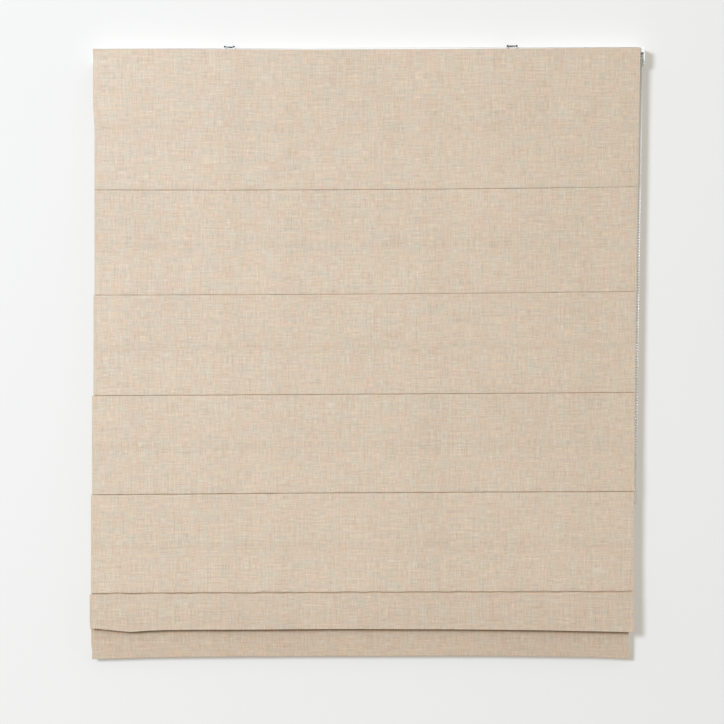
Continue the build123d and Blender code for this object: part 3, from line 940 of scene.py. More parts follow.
@dataclass
class LiftCords:
    """The three lift cords, each in spans that shorten as the rods rise."""

    place: Place
    radius: float = 0.7 * MM
    sides: int = 10
    drum_reach: float = 8.2 * MM
    eyelet_height: float = -19.1 * MM
    exit_height: float = -27.5 * MM
    least_left: float = 0.01

    def route(self, side: str) -> list[Point]:
        """One cord's route: off the drum, round the eyelet's edge and down to its lock.

        Args:
            side: left, middle or right.

        Returns:
            The spline's points.
        """
        low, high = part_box("lift_cord_" + side)
        x, shaft = (low.x + high.x) / 2, self.place.centre("shaft")
        guide_y = low.y + self.radius
        return [
            (x, shaft.y + self.drum_reach, high.z - self.radius),
            (x, guide_y, self.eyelet_height),
            (x, guide_y, self.exit_height),
            (x, self.place.centre("cord_lock_" + side).y, low.z),
        ]

    def build(self, braid: Material) -> None:
        """Makes every span of the three cords.

        Args:
            braid: the cords' finish.
        """
        bodies = ["headrail", *[f"rod_{n}" for n in range(1, 6)], "hem"]
        for side in SIDES:
            line = Route("lift_" + side, self.route(side), 420).line()
            order = np.argsort(-line[:, 2])
            line = line[order]
            cuts = [line[0, 2], self.exit_height, *self.place.creases[:5], line[-1, 2]]
            pieces = [self.span(f"lift_cord_{side}_0", line, cuts[0], cuts[1], braid)]
            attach(pieces[0], "headrail")
            for n, (upper, lower) in enumerate(zip(cuts[1:-1], cuts[2:]), start=1):
                piece = self.span(f"lift_cord_{side}_{n}", line, upper, lower, braid)
                if n < 6:
                    joint = "shade_lift" if n == 1 else f"lift_{n}"
                    left = 1 - self.place.joints[joint]["range_m"][1] / (upper - lower)
                    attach(piece, bodies[n - 1])
                    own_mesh(piece)
                else:
                    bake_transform(piece)
                pieces.append(piece)
            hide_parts("lift_cord_" + side)
            self.declare(line, cuts)
        LOG.info("lift cords: 3 cords in 7 spans each")

    def cut(self, line: Array, upper: float, lower: float) -> Array:
        """Takes the part of a line between two heights.

        Args:
            line: points x 3, from the top down.
            upper: the upper height.
            lower: the lower height.

        Returns:
            points x 3.
        """
        z, near = line[:, 2], 1e-6
        inside = line[(z < upper - near) & (z > lower + near)]
        ends = [[np.interp(-at, -z, line[:, axis]) for axis in range(3)] for at in (upper, lower)]
        return np.vstack([ends[:1], inside, ends[1:]])

    def span(
        self, name: str, line: Array, upper: float, lower: float, braid: Material
    ) -> Object:
        """One span of a cord as a tube.

        Args:
            name: the piece's name.
            line: the whole cord's smooth line, from the top down.
            upper: the span's upper height.
            lower: its lower height.
            braid: the finish.

        Returns:
            The tube.
        """
        mesh = Mesh(name)
        tube_along(mesh, self.cut(line, upper, lower), self.radius, self.sides)
        return mesh.build(braid, sharp=60)

    def declare(self, line: Array, cuts: Sequence[float]) -> None:
        """Cuts the five spans below the cord's exit out of the line, and keeps none of them.

        Args:
            line: the whole cord's smooth line.
            cuts: the heights between which the spans run.
        """
        for n in range(1, 6):
            path = self.cut(line, cuts[n], cuts[n + 1])
            2 * self.radius


# ----------------------------------------------------------------------------- cloth


@dataclass
class Cloth:
    """What all pieces of the cloth share: width, thickness, side turnings and finishes."""

    place: Place
    face: Material
    back: Material
    thickness: float = 0.45 * MM
    side_hem: float = 25.0 * MM
    hem_gap: float = 0.6 * MM
    spacing: float = 6.0 * MM
    wave: Ripple = field(default_factory=lambda: Ripple(11, 0.22 * MM, 0.42, 0.11, 5))
    forward: float = 0.35 * MM
    hem_columns: tuple[float, ...] = (0.0, 0.4 * MM, 2 * MM, 8 * MM, 15 * MM, 21 * MM)
    hem_layers: float = 2.1

    def across(self) -> Array:
        """Places across the cloth from 0 to 1, closer at the side turnings' edges.

        Returns:
            The places.
        """
        width, start = self.place.width, self.side_hem + self.hem_gap
        number = round((width - 2 * self.side_hem) / self.spacing)
        inner = np.linspace(start, width - start, number)
        edge = np.array([*self.hem_columns, self.side_hem])
        return np.concatenate([edge, inner, width - edge[::-1]]) / width

    def columns(self, left: Pairs, right: Pairs, down: Array) -> Array:
        """The places along X for each row and column.

        Args:
            left: how far the left edge lies from the straight edge, down the piece.
            right: the same for the right edge.
            down: each row's share of the piece's height.

        Returns:
            rows x columns of X.
        """
        start = self.place.cloth_low.x + table(left, down)
        end = self.place.cloth_high.x + table(right, down)
        return start[:, None] + (end - start)[:, None] * self.across()[None, :]

    def depth(self) -> Array:
        """How far the hanging cloth stands behind its nominal face at each place across."""
        return np.minimum(self.wave(self.across() * self.place.width) - self.forward, 0)

    def thick(self, shape: tuple[int, int]) -> Array:
        """The thickness of the cloth, doubled at the turned-back sides.

        Args:
            shape: rows and columns.

        Returns:
            rows x columns of metres.
        """
        places = self.across() * self.place.width
        inside = np.minimum(places, self.place.width - places)
        layers = np.where(inside < self.side_hem + 0.1 * MM, self.hem_layers, 1.0)
        return np.broadcast_to(self.thickness * layers, shape).copy()

    def sheet(
        self, name: str, face: Array, v_start: float, wear: Array, turned: Optional[int] = None
    ) -> Object:
        """A closed sheet behind a grid of face points, with its weave's coordinates.

        Args:
            name: the piece's name.
            face: rows x columns x 3.
            v_start: the length of cloth above this piece.
            wear: painted shade on each row or point, or below 0 a painted highlight.
            turned: the first row whose inner side comes to the front when the cloth is let out.

        Returns:
            The object.
        """
        middle = face[:, face.shape[1] // 2]
        run = np.concatenate([[0], np.cumsum(np.linalg.norm(np.diff(middle, axis=0), axis=1))])
        u = self.across() * self.place.width
        uvs = np.stack(np.broadcast_arrays(u[None, :], -(v_start + run)[:, None]), -1)
        shape = face.shape[:2]
        wear = wear if wear.ndim == 2 else np.broadcast_to(wear[:, None], shape)
        mesh = sheet_from(name, face, uvs, self.thick(shape), wear)
        if turned is not None:
            columns = face.shape[1] - 1
            quads, first = (face.shape[0] - 1) * columns, turned * columns
            mesh.indices[first:quads] = [1] * (quads - first)
            mesh.indices[quads + first : 2 * quads] = [0] * (quads - first)
        made = mesh.build(self.face, self.back)
        return made


@dataclass
class Crease:
    """One crease across the cloth: its line, and how the cloth above and below turns into it."""

    number: int
    height: float
    rise: Point
    gap: float
    upper_lip: float
    lower_lip: float
    tuck: float
    # how strongly the crease's lips are painted browner, a painted shade
    painted_lip_shade: float = 0.8
    read_at: Point = (0.08, 0.49, 0.93)
    width: float = 1.19

    def line(self, across: Array) -> Array:
        """The crease's line.

        Args:
            across: places across the cloth from 0 to 1.

        Returns:
            The height at each place.
        """
        bow = np.polyfit(self.read_at, np.array(self.rise) * MM, 2)
        uneven = Ripple(40 + self.number, 0.09 * MM, 0.4, 0.03, 7)
        return self.height + np.polyval(bow, across) + uneven(across * self.width)

    def depth(self, across: Array, upper: bool) -> Array:
        """How far the upper or lower lip stands open, as a share of its usual gap."""
        return 1 + Ripple(60 + 2 * self.number + upper, 0.35, 0.2, 0.035, 7)(across * self.width)


# Millimetres for each crease from the top: its rise above the rod at the left, middle and right,
# its gap, and its upper lip, lower lip and tuck.
CREASES = (
    ((0.8, 0.3, 4.0), 0.4, (0.7, 0.9, 0.4)),
    ((-0.6, 0.1, 3.3), 0.35, (0.6, 0.8, 0.4)),
    ((-1.3, 0.1, 1.9), 0.6, (0.9, 1.1, 0.6)),
    ((-2.2, 0.0, 1.0), 0.9, (1.1, 1.4, 0.9)),
    ((-0.6, 0.3, 0.4), 2.0, (1.4, 1.8, 1.6)),
)


def creases(place: Place) -> list[Crease]:
    """Makes the five creases that show on the face.

    Args:
        place: the frame's places.

    Returns:
        The creases from the top down.
    """
    made = []
    for number, (height, (rise, gap, lips)) in enumerate(zip(place.creases, CREASES), start=1):
        made.append(Crease(number, height, rise, gap * MM, *(size * MM for size in lips)))
    return made


@dataclass
class Section:
    """One flat section of cloth between two creases, built let down and not made to fold here."""

    number: int
    left: Pairs
    right: Pairs
    rows: int = 46
    lip_rows: int = 7
    step: float = 1.4 * MM
    turn: float = 20.0 * MM

    def drift(self, down: Array, fold: float, height: float) -> Array:
        """How far the cloth stands behind its face, so that its halves lie apart once folded.

        Args:
            down: each row's share of the section's height.
            fold: the share at which it folds.
            height: the section's height.

        Returns:
            Metres towards the wall.
        """
        below = (down - fold) / (1 - fold)
        onset = smooth((down - fold + self.turn / height / 2) / (self.turn / height))
        return onset * (self.step / 2 - self.step * smooth(below))

    def top_line(self, cloth: Cloth, above: Optional[Crease]) -> Array:
        """The height of the section's upper edge at each place across.

        Args:
            cloth: what all cloth shares.
            above: the crease it hangs from, or None for the headrail.

        Returns:
            The heights.
        """
        across = cloth.across()
        if above is None:
            return cloth.place.cloth_high.z + table(TOP_RISE, across)
        return above.line(across) - above.gap / 2 * above.depth(across, False)

    def dust_and_painted_shade(self, rows: int, above: Optional[Crease], below: Crease) -> Array:
        """How strong the painted shade is on each row, which is most inside the creases.

        Args:
            rows: how many rows the section has.
            above: the crease it hangs from, or None for the headrail.
            below: the crease at its foot.

        Returns:
            0 to 1 for each row.
        """
        wear = np.zeros(rows)
        deeper = np.linspace(0.3, 1, self.lip_rows + 1)
        wear[-self.lip_rows - 1 :] = below.painted_lip_shade * deeper
        if above is not None:
            wear[: self.lip_rows + 1] = above.painted_lip_shade * deeper[::-1]
        return wear

    def build(
        self, cloth: Cloth, above: Optional[Crease], below: Crease, v_start: float
    ) -> Object:
        """Makes the section.

        Args:
            cloth: what all cloth shares.
            above: the crease it hangs from, or None for the headrail.
            below: the crease at its foot.
            v_start: the length of cloth above it.

        Returns:
            The section.
        """
        place, across = cloth.place, cloth.across()
        rod = f"rod_{self.number}"
        bodies = ("headrail" if above is None else f"rod_{self.number - 1}", rod)
        joint = "shade_lift" if above is None else f"lift_{self.number}"
        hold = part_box("hook_tape")[0].z if above is None else above.height
        height = hold - below.height
        fold_z = below.height + place.joints[joint]["range_m"][1] / 2
        start = self.top_line(cloth, above)
        end = below.line(across) + below.gap / 2 * below.depth(across, True)
        upper_r = 0.0 if above is None else above.lower_lip
        lower_r = below.upper_lip
        share = np.linspace(0, 1, self.rows)[:, None]
        z = (start - upper_r) + share * ((end + lower_r) - (start - upper_r))
        top = float(np.mean(start))
        down = (top - z.mean(axis=1)) / (top - below.height)
        fold = (top - fold_z) / (top - below.height)
        hang = smooth((down - 0.08) / 0.12)[:, None] if above is None else 1.0
        y = place.front + self.drift(down, fold, height)[:, None] + cloth.depth()[None, :] * hang
        y = np.broadcast_to(y, z.shape)
        parts_y, parts_z = [y], [z]
        if above is not None:
            behind, off = quarter_round(upper_r, self.lip_rows)
            lip_y, lip_z = y[0] + behind, start - off
            parts_y = [lip_y[:1] + above.tuck, lip_y, *parts_y]
            parts_z = [lip_z[:1], lip_z, *parts_z]
        behind, off = quarter_round(lower_r, self.lip_rows)
        lip_y, lip_z = y[-1] + behind[::-1], end + off[::-1]
        parts_y += [lip_y, lip_y[-1:] + below.tuck + self.step / 2]
        parts_z += [lip_z, lip_z[-1:]]
        all_y, all_z = np.vstack(parts_y), np.vstack(parts_z)
        mean = np.clip((top - all_z.mean(axis=1)) / (top - below.height), 0, 1)
        x = cloth.columns(self.left, self.right, mean)
        face = np.stack([x, all_y, all_z], -1)
        # painted shade inside the creases at the section's top and foot
        wear = self.dust_and_painted_shade(len(face), above, below)
        made = cloth.sheet(f"cloth_section_{self.number}", face, v_start, wear)
        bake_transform(made)
        top - below.height
        LOG.info("%s: %.0f mm high", made.name, (top - below.height) / MM)
        return made


TOP_RISE: Pairs = (
    (0.0, 1.6), (0.12, 1.5), (0.26, 0.2), (0.38, -0.7), (0.5, -0.7),
    (0.65, -0.6), (0.8, 0.2), (0.92, 1.0), (1.0, 1.2),
)
SECTIONS = (
    Section(
        1,
        ((0, 1.2), (0.08, 2.2), (0.4, 2.0), (0.54, 4.9), (1, 4.7)),
        ((0, 1.5), (0.44, -2.7), (1, -6.5)),
    ),
    Section(2, ((0, 4.6), (1, 4.0)), ((0, -7.6), (1, -10.4))),
    Section(3, ((0, 1.8), (1, 1.2)), ((0, -11.1), (1, -13.2))),
    Section(4, ((0, -2.1), (1, -2.7)), ((0, -13.9), (1, -14.9))),
    Section(5, ((0, -4.9), (1, -5.5)), ((0, -16.0), (1, -17.7))),
)


@dataclass
class GatheredFold:
    """The lowest section, folded up behind itself to the last rod."""

    place: Place
    left: Pairs = ((0, -8.2), (0.8, -8.4), (1, -7.4))
    right: Pairs = ((0, -16.7), (1, -16.9))
    sag: Pairs = (
        (0.0, 4.4), (0.012, 3.7), (0.045, -0.1), (0.074, -3.7), (0.103, -0.9), (0.14, 0.5),
        (0.195, 0.9), (0.286, 0.8), (0.377, 1.4), (0.468, 1.7), (0.522, 1.3), (0.65, 0.4),
        (0.741, -0.8), (0.833, -2.4), (0.924, -4.9), (0.96, -5.9), (0.985, -6.8), (1.0, -6.9),
    )
    radius: float = 1.8 * MM
    corner: float = 1.3 * MM
    drop: float = 81.0 * MM
    inner: float = 70.0 * MM
    bulge: float = 0.5 * MM
    rod_gap: float = 3.5 * MM
    lip_rows: int = 7
    rows: int = 26
    turn_rows: int = 9

    def build(self, cloth: Cloth, crease: Crease, v_start: float) -> Object:
        """Makes the fold.

        Args:
            cloth: what all cloth shares.
            crease: the crease it hangs from.
            v_start: the length of cloth above it.

        Returns:
            The fold.
        """
        place, across = self.place, cloth.across()
        start = crease.line(across) - crease.gap / 2 * crease.depth(across, False)
        bottom = crease.height - self.drop + table(self.sag, across)
        y_front = place.front + cloth.depth()
        r, lip = self.radius, crease.lower_lip
        behind, off = quarter_round(lip, self.lip_rows)
        lip_y, lip_z = y_front + behind, start - off
        share = np.linspace(0, 1, self.rows)[:, None]
        low = bottom + self.corner
        front_z = (start - lip) + share * (low - (start - lip))
        front_y = y_front - self.bulge * np.sin(math.pi * share) ** 2
        phi = np.linspace(0, math.pi, self.turn_rows + 1)[1:, None]
        turn_y = y_front + r * (1 - squared(np.cos(phi), 0.7))
        turn_z = low - self.corner * squared(np.sin(phi), 0.7)
        last = place.rods[5]
        back_from, back_to = place.front + 2 * r, last.y - self.rod_gap
        rise = np.linspace(0, 1, self.rows)[1:, None]
        # The inverse of the soft step, for how far the inner layer stands back as it rises.
        deep = 0.5 - np.sin(np.arcsin(1 - 2 * rise) / 3)
        rise_z = low + rise * (last.z - 0.5 * MM - low)
        rise_y = (y_front + 2 * r) + deep * (back_to - (y_front + 2 * r))
        all_y = np.vstack([lip_y[:1] + crease.tuck, lip_y, front_y, turn_y, rise_y])
        all_z = np.vstack([lip_z[:1], lip_z, front_z, turn_z, rise_z])
        down = np.clip((start.mean() - all_z.mean(axis=1)) / (start - bottom).mean(), 0, 1)
        face = np.stack([cloth.columns(self.left, self.right, down), all_y, all_z], -1)
        edge = self.lip_rows + self.rows
        turned = edge + self.turn_rows // 2
        # Painted shade on the top lip in the crease, painted highlight on the fold's bottom edge.
        wear = np.zeros(len(face))
        wear[: self.lip_rows + 1] = np.linspace(1, 0.3, self.lip_rows + 1)
        wear[edge:turned] = -1.0
        made = cloth.sheet("gathered_fold", face, v_start, wear, turned)
        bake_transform(made)
        flat = (place.width, self.drop + self.inner)
        LOG.info("%s: %.0f mm drop", made.name, self.drop / MM)
        return made


@dataclass
class HemPanel:
    """The hem below the lowest rod, leaning back, with the weight bar in its pocket."""

    place: Place
    left: Pairs = ((0, -7.0), (0.58, -7.5), (0.75, -7.9), (0.88, -6.3), (1, -6.7))
    right: Pairs = ((0, -26.0), (0.6, -26.0), (0.8, -25.2), (1, -24.0))
    sag: Pairs = (
        (0.0, -5.4), (0.01, -5.0), (0.1, -2.0), (0.19, -0.8), (0.284, -0.1), (0.376, 0.2),
        (0.614, 0.2), (0.742, -0.3), (0.834, -1.8), (0.926, -3.6), (0.963, -5.2),
        (0.985, -7.2), (1.0, -7.4),
    )
    length: float = 130.0 * MM
    stand_off: float = 5.9 * MM
    lean: float = math.asin(12.0 / 130.0)
    radius: float = 2.35 * MM
    corner: float = 1.2 * MM
    pocket: float = 31.0 * MM
    relief: float = 0.3 * MM
    covered: float = 72.0 * MM
    fading: float = 13.0 * MM
    # how strong the painted shadow just below the fold's edge is
    painted_shade_strength: float = 0.6
    lip: float = 1.4 * MM
    lip_start: float = 0.6 * MM
    tuck: float = 0.8 * MM
    bar_top: float = 4.0 * MM
    bar_ease: float = 5.0 * MM
    lip_rows: int = 6
    rows: int = 60
    turn_rows: int = 10
    rise_rows: int = 13

    def build(self, cloth: Cloth, v_start: float) -> Object:
        """Makes the hem.

        Args:
            cloth: what all cloth shares.
            v_start: the length of cloth above it.

        Returns:
            The hem.
        """
        place, across = self.place, cloth.across()
        last = place.rods[5]
        face_y = last.y - self.stand_off
        long = self.length - table(self.sag, across)
        behind, off = quarter_round(self.lip, self.lip_rows)
        lip_s = self.lip_start + off + 0 * across
        lip_d = behind + 0 * across
        share = np.linspace(0, 1, self.rows)[:, None]
        front_s = lip_s[-1] + share * (long - self.corner - lip_s[-1])
        seam = self.length - self.pocket
        above_bar = 1 - smooth((front_s - (seam - self.bar_top)) / self.bar_ease)
        front_d = self.relief * above_bar * smooth(share / 0.2) + 0.5 * cloth.depth()[None, :]
        phi = np.linspace(0, math.pi, self.turn_rows + 1)[1:, None]
        turn_s = long - self.corner * (1 - squared(np.sin(phi)))
        turn_d = front_d[-1] + self.radius * (1 - squared(np.cos(phi)))
        rise = np.linspace(0, 1, self.rise_rows + 1)[1:, None]
        rise_s = (long - self.corner) - rise * (long - self.corner - seam)
        depth = 2 * self.radius
        sewn = (depth - cloth.thickness * 1.6) * smooth((rise - 0.91) / 0.09)
        rise_d = depth + (front_d[-1] * (1 - rise) - sewn)
        s = np.vstack([lip_s[:1], lip_s, front_s, turn_s, rise_s])
        d = np.vstack([lip_d[:1] + self.tuck, lip_d, front_d, turn_d, rise_d])
        y = face_y + s * math.sin(self.lean) + d * math.cos(self.lean)
        z = last.z - s * math.cos(self.lean) + d * math.sin(self.lean)
        down = np.clip(s.mean(axis=1) / self.length, 0, 1)
        face = np.stack([cloth.columns(self.left, self.right, down), y, z], -1)
        # A painted shadow: the hem is painted browner in a band that peaks at the fold's edge and
        # fades out over the fading length on each side.
        past = s - (self.covered - table(GatheredFold(place).sag, across))
        dust_and_painted_shade = smooth((past + self.fading) / self.fading) * (1 - smooth(past / self.fading))
        made = cloth.sheet("hem_panel", face, v_start, self.painted_shade_strength * dust_and_painted_shade)
        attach(made, "hem")
        flat = (place.width, self.length + self.pocket)
        LOG.info("%s: %.0f mm long", made.name, self.length / MM)
        return made


@dataclass
class RodPocket:
    """The sewn loop of cloth that holds one rod behind its crease."""

    number: int
    body: str
    outer: float = 3.1 * MM
    wall: float = 0.5 * MM
    points: int = 26
    columns: int = 200
    neck: float = 0.5 * MM
    pinch: float = 0.8
    flat_height: float = 19.5 * MM

    def build(
        self, cloth: Cloth, line: Array, neck_y: float, ends: tuple[float, float]
    ) -> Object:
        """Makes the pocket.

        Args:
            cloth: what all cloth shares.
            line: the crease's height above the rod across the cloth.
            neck_y: where the neck meets the crease.
            ends: the pocket's two ends along X.

        Returns:
            The pocket.
        """
        rod = cloth.place.rods[self.number - 1]
        share = np.linspace(0, 1, self.columns)
        x = ends[0] + share * (ends[1] - ends[0])
        rise = np.interp(share, cloth.across(), line)
        angle = np.linspace(0, 2 * math.pi, self.points, endpoint=False)[:, None]
        uneven = Ripple(90 + self.number, 0.025, 0.09, 0.012, 8)(x)[None, :]
        wide = self.outer * (1 + uneven * np.abs(np.sin(angle / 2)))
        open_y, open_z = -np.cos(angle) * wide, np.sin(angle) * wide
        near = np.clip((np.cos(angle) - self.pinch) / (1 - self.pinch), 0, 1)
        side = np.sign(np.sin(angle) + 1e-9)
        y = rod.y + open_y * (1 - near) + (neck_y - rod.y) * near
        z = rod.z + open_z * (1 - near) + (rise + side * self.neck) * near
        outer = np.stack(np.broadcast_arrays(x[None, :], y, z), -1)
        bore = self.outer - self.wall
        bore_y, bore_z = rod.y - np.cos(angle) * bore, rod.z + np.sin(angle) * bore
        inner = np.stack(np.broadcast_arrays(x[None, :], bore_y, bore_z), -1)
        run = np.arange(self.points)[:, None] * (2 * math.pi * self.outer / self.points)
        uvs = np.stack(np.broadcast_arrays(x[None, :] - x[0], run), -1)
        mesh = Mesh(f"rod_pocket_{self.number}")
        first = mesh.grid(outer, uvs, wrap=True, flip=True)
        second = mesh.grid(inner, uvs, wrap=True)
        rows = np.arange(self.points) * self.columns
        after = np.roll(rows, -1)
        left = np.stack([first + rows, first + after, second + after, second + rows], -1)
        right = np.stack([first + after, first + rows, second + rows, second + after], -1)
        right += self.columns - 1
        mesh.add(np.zeros((0, 3)), np.zeros((0, 2)), np.vstack([left, right]))
        made = mesh.build(cloth.back)
        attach(made, self.body)
        flat = (float(x[-1] - x[0]), self.flat_height)
        return made


@dataclass
class RingTies:
    """The thread that sews the cord rings to one rod pocket."""

    number: int
    body: str
    thread: float = 0.16 * MM
    wraps: int = 4
    pitch: float = 0.42 * MM
    slant: float = 0.25 * MM
    loop_y: float = 1.3 * MM
    loop_z: float = 1.02 * MM
    points: int = 20
    sides: int = 6

    def build(self, place: Place, finish: Material) -> Object:
        """Makes the wraps of all three rings.

        Args:
            place: the frame's places.
            finish: the thread's finish.

        Returns:
            The ties.
        """
        low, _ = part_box(f"rings_{self.number}")
        mesh = Mesh(f"ring_ties_{self.number}")
        angles = np.linspace(0, 2 * math.pi, self.points, endpoint=False)
        y = low.y + 0.25 * MM - self.loop_y * np.cos(angles)
        z = place.rings[self.number - 1].z + self.loop_z * np.sin(angles)
        for side in SIDES:
            middle = place.centre("drum_" + side).x
            for n in range(self.wraps):
                x = middle + (n - (self.wraps - 1) / 2) * self.pitch
                loop = np.stack([x + self.slant * np.sin(angles + n), y, z], -1)
                tube_along(mesh, loop, self.thread, self.sides, closed=True)
        made = mesh.build(finish, sharp=80)
        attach(made, self.body)
        return made


# ----------------------------------------------------------------------------- hardware


@dataclass
class Hardware:
    """The rail, brackets, rods and other hard pieces that keep their own shapes."""

    def finishes(self) -> dict[str, tuple[str, ...]]:
        """Which nodes take which finish.

        Returns:
            The nodes' names for each finish.
        """
        rivets = ("latch_rivet_left", "latch_rivet_right")
        screws = ("cover_screw_front", "cover_screw_rear")
        rings = tuple(f"rings_{n}" for n in range(1, 7))
        return {
            "rail": ("headrail",),
            "white": ("left_end_cap", "control_plate", "chain_cover", "chain_wheel"),
            "grey": tuple(f"{kind}_{side}" for kind in ("drum", "cradle") for side in SIDES),
            "steel": (*rivets, *screws, "clutch_spring"),
            "bracket": ("bracket_left", "bracket_right"),
            "black": ("latch_left", "latch_right"),
            "shaft": ("shaft",),
            "bar": ("bottom_bar",),
            "rods": tuple(f"rod_{n}" for n in range(1, 7)),
            "clear": (*rings, *(f"cord_lock_{side}" for side in SIDES)),
            "hooks": ("hook_tape",),
            "loops": ("loop_tape",),
        }

    def materials(self) -> dict[str, Material]:
        """The finish of each group.

        Returns:
            The material for each finish.
        """
        centre = Place.centre("bracket_right").x
        flange = (centre, 8.1 * MM, 11.3 * MM)
        return {
            "rail": Enamel().material(),
            "white": Moulded("white_plastic", (0.86, 0.86, 0.84), 0.35).material(),
            "grey": Moulded("grey_plastic", (0.62, 0.62, 0.60), 0.5, 0.03).material(),
            "steel": Metal("zinc_steel", (0.62, 0.62, 0.61), 0.36, (700, 700, 90)).material(),
            "bracket": Metal(
                "bracket_steel", (0.6, 0.6, 0.61), 0.4, (60, 700, 700), *flange
            ).material(),
            "black": Moulded("black_plastic", (0.02, 0.02, 0.021), 0.45, 0.03).material(),
            "shaft": Metal("shaft_aluminium", (0.7, 0.7, 0.7), 0.3, (8, 1100, 1100)).material(),
            "bar": Metal("bar_aluminium", (0.75, 0.75, 0.74), 0.28, (6, 1200, 1200)).material(),
            "rods": Moulded("glass_fibre", (0.76, 0.75, 0.66), 0.42, 0.04).material(),
            "clear": Moulded("clear_plastic", (0.9, 0.91, 0.9), 0.16, 0.01, 0.7).material(),
            "hooks": Pile("hook_nap", (0.80, 0.80, 0.77), 0.9).material(),
            "loops": Pile("loop_nap", (0.84, 0.82, 0.77), 0.5).material(),
        }

    def dress(self) -> None:
        """Gives every kept node its finish."""
        materials = self.materials()
        for group, nodes in self.finishes().items():
            for name in nodes:
                data = frame["nodes"][name].data
                data.materials.clear()
                data.materials.append(materials[group])
        LOG.info("hardware: %d finishes", len(materials))


# ----------------------------------------------------------------------------- studio


@dataclass
class Studio:
    """A pale wall and floor, one large soft lamp, an even sky and the camera."""

    distance: float = 4.0
    view_width: float = 1.5718
    tilt: float = 0.0029
    aim: tuple[float, float] = (-0.0210, -0.6719)
    lamp_direction: Point = (-0.60, -1.0, 0.31)
    lamp_distance: float = 8.0
    lamp_size: float = 2.6
    lamp_power: float = 820.0
    lamp_tint: Colour = (0.92, 1.0, 1.11)
    back_direction: Point = (0.35, 0.9, 0.45)
    back_share: float = 0.3
    sky_high: float = 0.80
    sky_low: float = 0.18
    sky_tint: Colour = (1.0, 0.96, 0.875)
    wall_paint: Colour = (0.50, 0.50, 0.497)
    wall_tint: Colour = (1.0, 0.955, 0.86)
    wall_glow: float = 0.285
    wall_half: float = 4.0
    wall_high: float = 2.2
    floor_paint: Colour = (0.72, 0.72, 0.71)
    floor_half: float = 12.0
    floor_height: float = -1.95

    def camera(self) -> None:
        """Stands the camera square before the blind."""
        data = bpy.data.cameras.new("camera")
        data.sensor_width = 36.0
        data.lens = data.sensor_width * self.distance / self.view_width
        made = bpy.data.objects.new("camera", data)
        made.location = (self.aim[0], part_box("face_cloth")[0].y - self.distance, self.aim[1])
        made.rotation_euler = (math.pi / 2, self.tilt, 0)
        bpy.context.scene.collection.objects.link(made)
        bpy.context.scene.camera = made

    def lamps(self) -> None:
        """Hangs the soft lamp on the left, and a weak one that lights the blind's back."""
        self.lamp("lamp", self.lamp_direction, self.lamp_power, self.lamp_tint)
        weak = self.lamp_power * self.back_share
        self.lamp("back_lamp", self.back_direction, weak, (1.0, 1.0, 1.0))

    def lamp(self, name: str, direction: Sequence[float], power: float, tint: Colour) -> None:
        """Hangs one soft lamp.

        Args:
            name: its name.
            direction: from the blind's middle towards it.
            power: its power in watts.
            tint: its colour.
        """
        data = bpy.data.lights.new(name, "AREA")
        data.shape = "DISK"
        data.size = self.lamp_size
        data.energy = power
        data.color = tint
        made = bpy.data.objects.new(name, data)
        toward = Vector(direction)
        made.location = Vector((self.aim[0], 0, self.aim[1])) + toward * self.lamp_distance
        made.rotation_euler = toward.to_track_quat("Z", "Y").to_euler()
        bpy.context.scene.collection.objects.link(made)

    def air(self) -> None:
        """Fills the room with soft light that is weaker from below."""
        world = bpy.data.worlds.new("sky")
        bpy.context.scene.world = world
        sky = Air(world)
        where = sky.node("ShaderNodeTexCoord").outputs["Generated"]
        height = sky.value("ShaderNodeSeparateXYZ", None, {0: where}, out=2)
        band = {"Value": height, "From Min": -0.2, "From Max": 0.2}
        rise = sky.value("ShaderNodeMapRange", None, band)
        low = tuple(part * self.sky_low for part in self.sky_tint)
        high = tuple(part * self.sky_high for part in self.sky_tint)
        sky.feed(sky.surface.inputs["Color"], sky.mix(rise, low, high))
        bpy.context.scene.view_settings.view_transform = "Standard"

    def plane(
        self, name: str, corners: Sequence[Sequence[float]], colour: Colour, one_sided: bool
    ) -> Object:
        """Makes one flat backdrop.

        Args:
            name: its name.
            corners: its four corners.
            colour: its paint.
            one_sided: whether it can be seen through from behind.

        Returns:
            The backdrop.
        """
        data = bpy.data.meshes.new(name)
        data.from_pydata([tuple(c) for c in corners], [], [(0, 1, 2, 3)])
        paint = Shader(name)
        mottle = paint.noise(paint.place("Object", (3, 3, 3)), 2.0, 1.0)
        paint.finish(paint.scaled(colour, 1 + mottle * 0.012), 0.95, Specular_IOR_Level=0.1)
        if one_sided:
            behind = paint.node("ShaderNodeNewGeometry").outputs["Backfacing"]
            clear = paint.node("ShaderNodeBsdfTransparent").outputs[0]
            sides = {0: behind, 1: paint.surface.outputs[0], 2: clear}
            both = paint.node("ShaderNodeMixShader", None, sides)
            end = paint.tree.nodes["Material Output"]
            paint.feed(end.inputs["Surface"], both.outputs[0])
        data.materials.append(paint.material)
        made = bpy.data.objects.new(name, data)
        bpy.context.scene.collection.objects.link(made)
        return made

    def room(self) -> None:
        """Puts up the wall and lays the floor."""
        half, low, high = self.wall_half, self.floor_height, self.wall_high
        upright = ((-half, 0, low), (half, 0, low), (half, 0, high), (-half, 0, high))
        wall = self.plane("wall", upright, self.wall_paint, True)
        surface = wall.active_material.node_tree.nodes["Principled BSDF"]
        surface.inputs["Emission Color"].default_value = (*self.wall_tint, 1.0)
        surface.inputs["Emission Strength"].default_value = self.wall_glow
        wall.visible_diffuse = wall.visible_glossy = False
        wall.visible_transmission = wall.visible_shadow = False
        size = self.floor_half
        level = ((-size, -size, low), (size, -size, low), (size, size, low), (-size, size, low))
        self.plane("floor", level, self.floor_paint, False).visible_diffuse = False


# ----------------------------------------------------------------------------- the blind


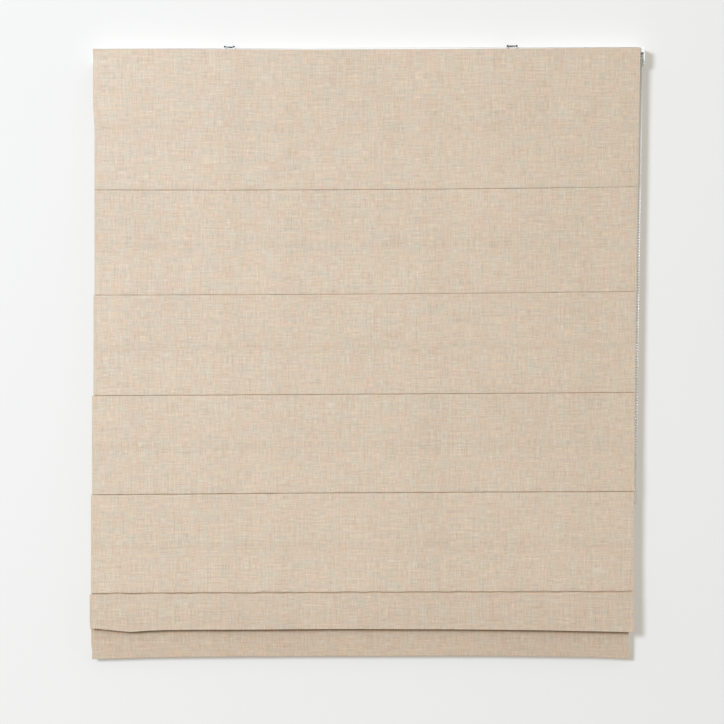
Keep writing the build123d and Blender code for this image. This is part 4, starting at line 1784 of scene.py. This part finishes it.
@dataclass
class Blind:
    """The whole blind, put together from its sub-assemblies."""

    place: Place = field(default_factory=Place)
    neck: float = 3.8 * MM
    pocket_inset: float = 2.5 * MM
    hem_inset: float = 5.5 * MM
    clearance: float = 1.0 * MM

    def cords(self) -> None:
        """Makes the bead chain and the lift cords."""
        string = Braid("chain_cord", (0.78, 0.78, 0.76), 1.2 * MM, 3).material()
        beads = Moulded("bead_plastic", (0.93, 0.93, 0.92), 0.22, 0.01).material()
        BeadChain().build(string, beads)
        LiftCords(self.place).build(Braid("lift_braid").material())

    def cloth(self) -> None:
        """Makes the sections, the gathered fold, the hem and the rod pockets."""
        cloth = Cloth(self.place, Linen(Look.FACE).material(), Linen(Look.BACK).material())
        # The fold and the hem take darker copies of the weave, a painted shade.
        fold = Linen(Look.FACE, "fold", (0.965, 0.955, 0.95)).material()
        hem = Linen(Look.FACE, "hem", (0.965, 0.94, 0.915)).material()
        lines = creases(self.place)
        used = 0.0
        above: Optional[Crease] = None
        for section, below in zip(SECTIONS, lines):
            made = section.build(cloth, above, below, used)
            if above is None:
                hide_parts("face_cloth")
                used += self.place.cloth_high.z - below.height
            else:
                used += above.height - below.height
            above = below
        gathered = GatheredFold(self.place)
        gathered.build(replace(cloth, face=fold), lines[-1], used)
        used += gathered.drop + gathered.inner
        HemPanel(self.place).build(replace(cloth, face=hem), used)
        self.pockets(cloth, lines)

    def pockets(self, cloth: Cloth, lines: Sequence[Crease]) -> None:
        """Makes the six rod pockets and sews the rings to them.

        Args:
            cloth: what all cloth shares.
            lines: the five creases.
        """
        thread = Braid("sewing_thread", (0.80, 0.76, 0.68), 0.9 * MM, 2).material()
        place, across = self.place, cloth.across()
        for n in range(1, 7):
            body = "hem" if n == 6 else f"rod_{n}"
            rod = place.rods[n - 1]
            flat = np.zeros_like(across)
            rise = flat if n == 6 else lines[n - 1].line(across) - lines[n - 1].height
            if n == 1:
                raised = rod.z + place.joints["shade_lift"]["range_m"][1]
                rise = np.minimum(rise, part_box("headrail")[0].z - raised - self.clearance)
            edges = SECTIONS[min(n, 5) - 1]
            inset = self.hem_inset if n == 6 else self.pocket_inset
            left = place.cloth_low.x + edges.left[-1][1] * MM + self.pocket_inset
            right = place.cloth_high.x + edges.right[-1][1] * MM - inset
            RodPocket(n, body).build(cloth, rise, rod.y - self.neck, (left, right))
            RingTies(n, body).build(place, thread)
        LOG.info("rod pockets: 6, rings tied: 18")


def corners(box: Iterable[Vector]) -> list[list[float]]:
    """A box's two corners as plain lists."""
    return [list(corner) for corner in box]


def main() -> None:
    """Builds the studio, the cords, the cloth and the hardware."""
    logging.basicConfig(level=logging.INFO, format="%(message)s")
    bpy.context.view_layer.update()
    studio, blind = Studio(), Blind()
    studio.camera()
    blind.cords()
    blind.cloth()
    Hardware().dress()
    studio.lamps()
    studio.air()
    studio.room()


if __name__ == "__main__":
    main()
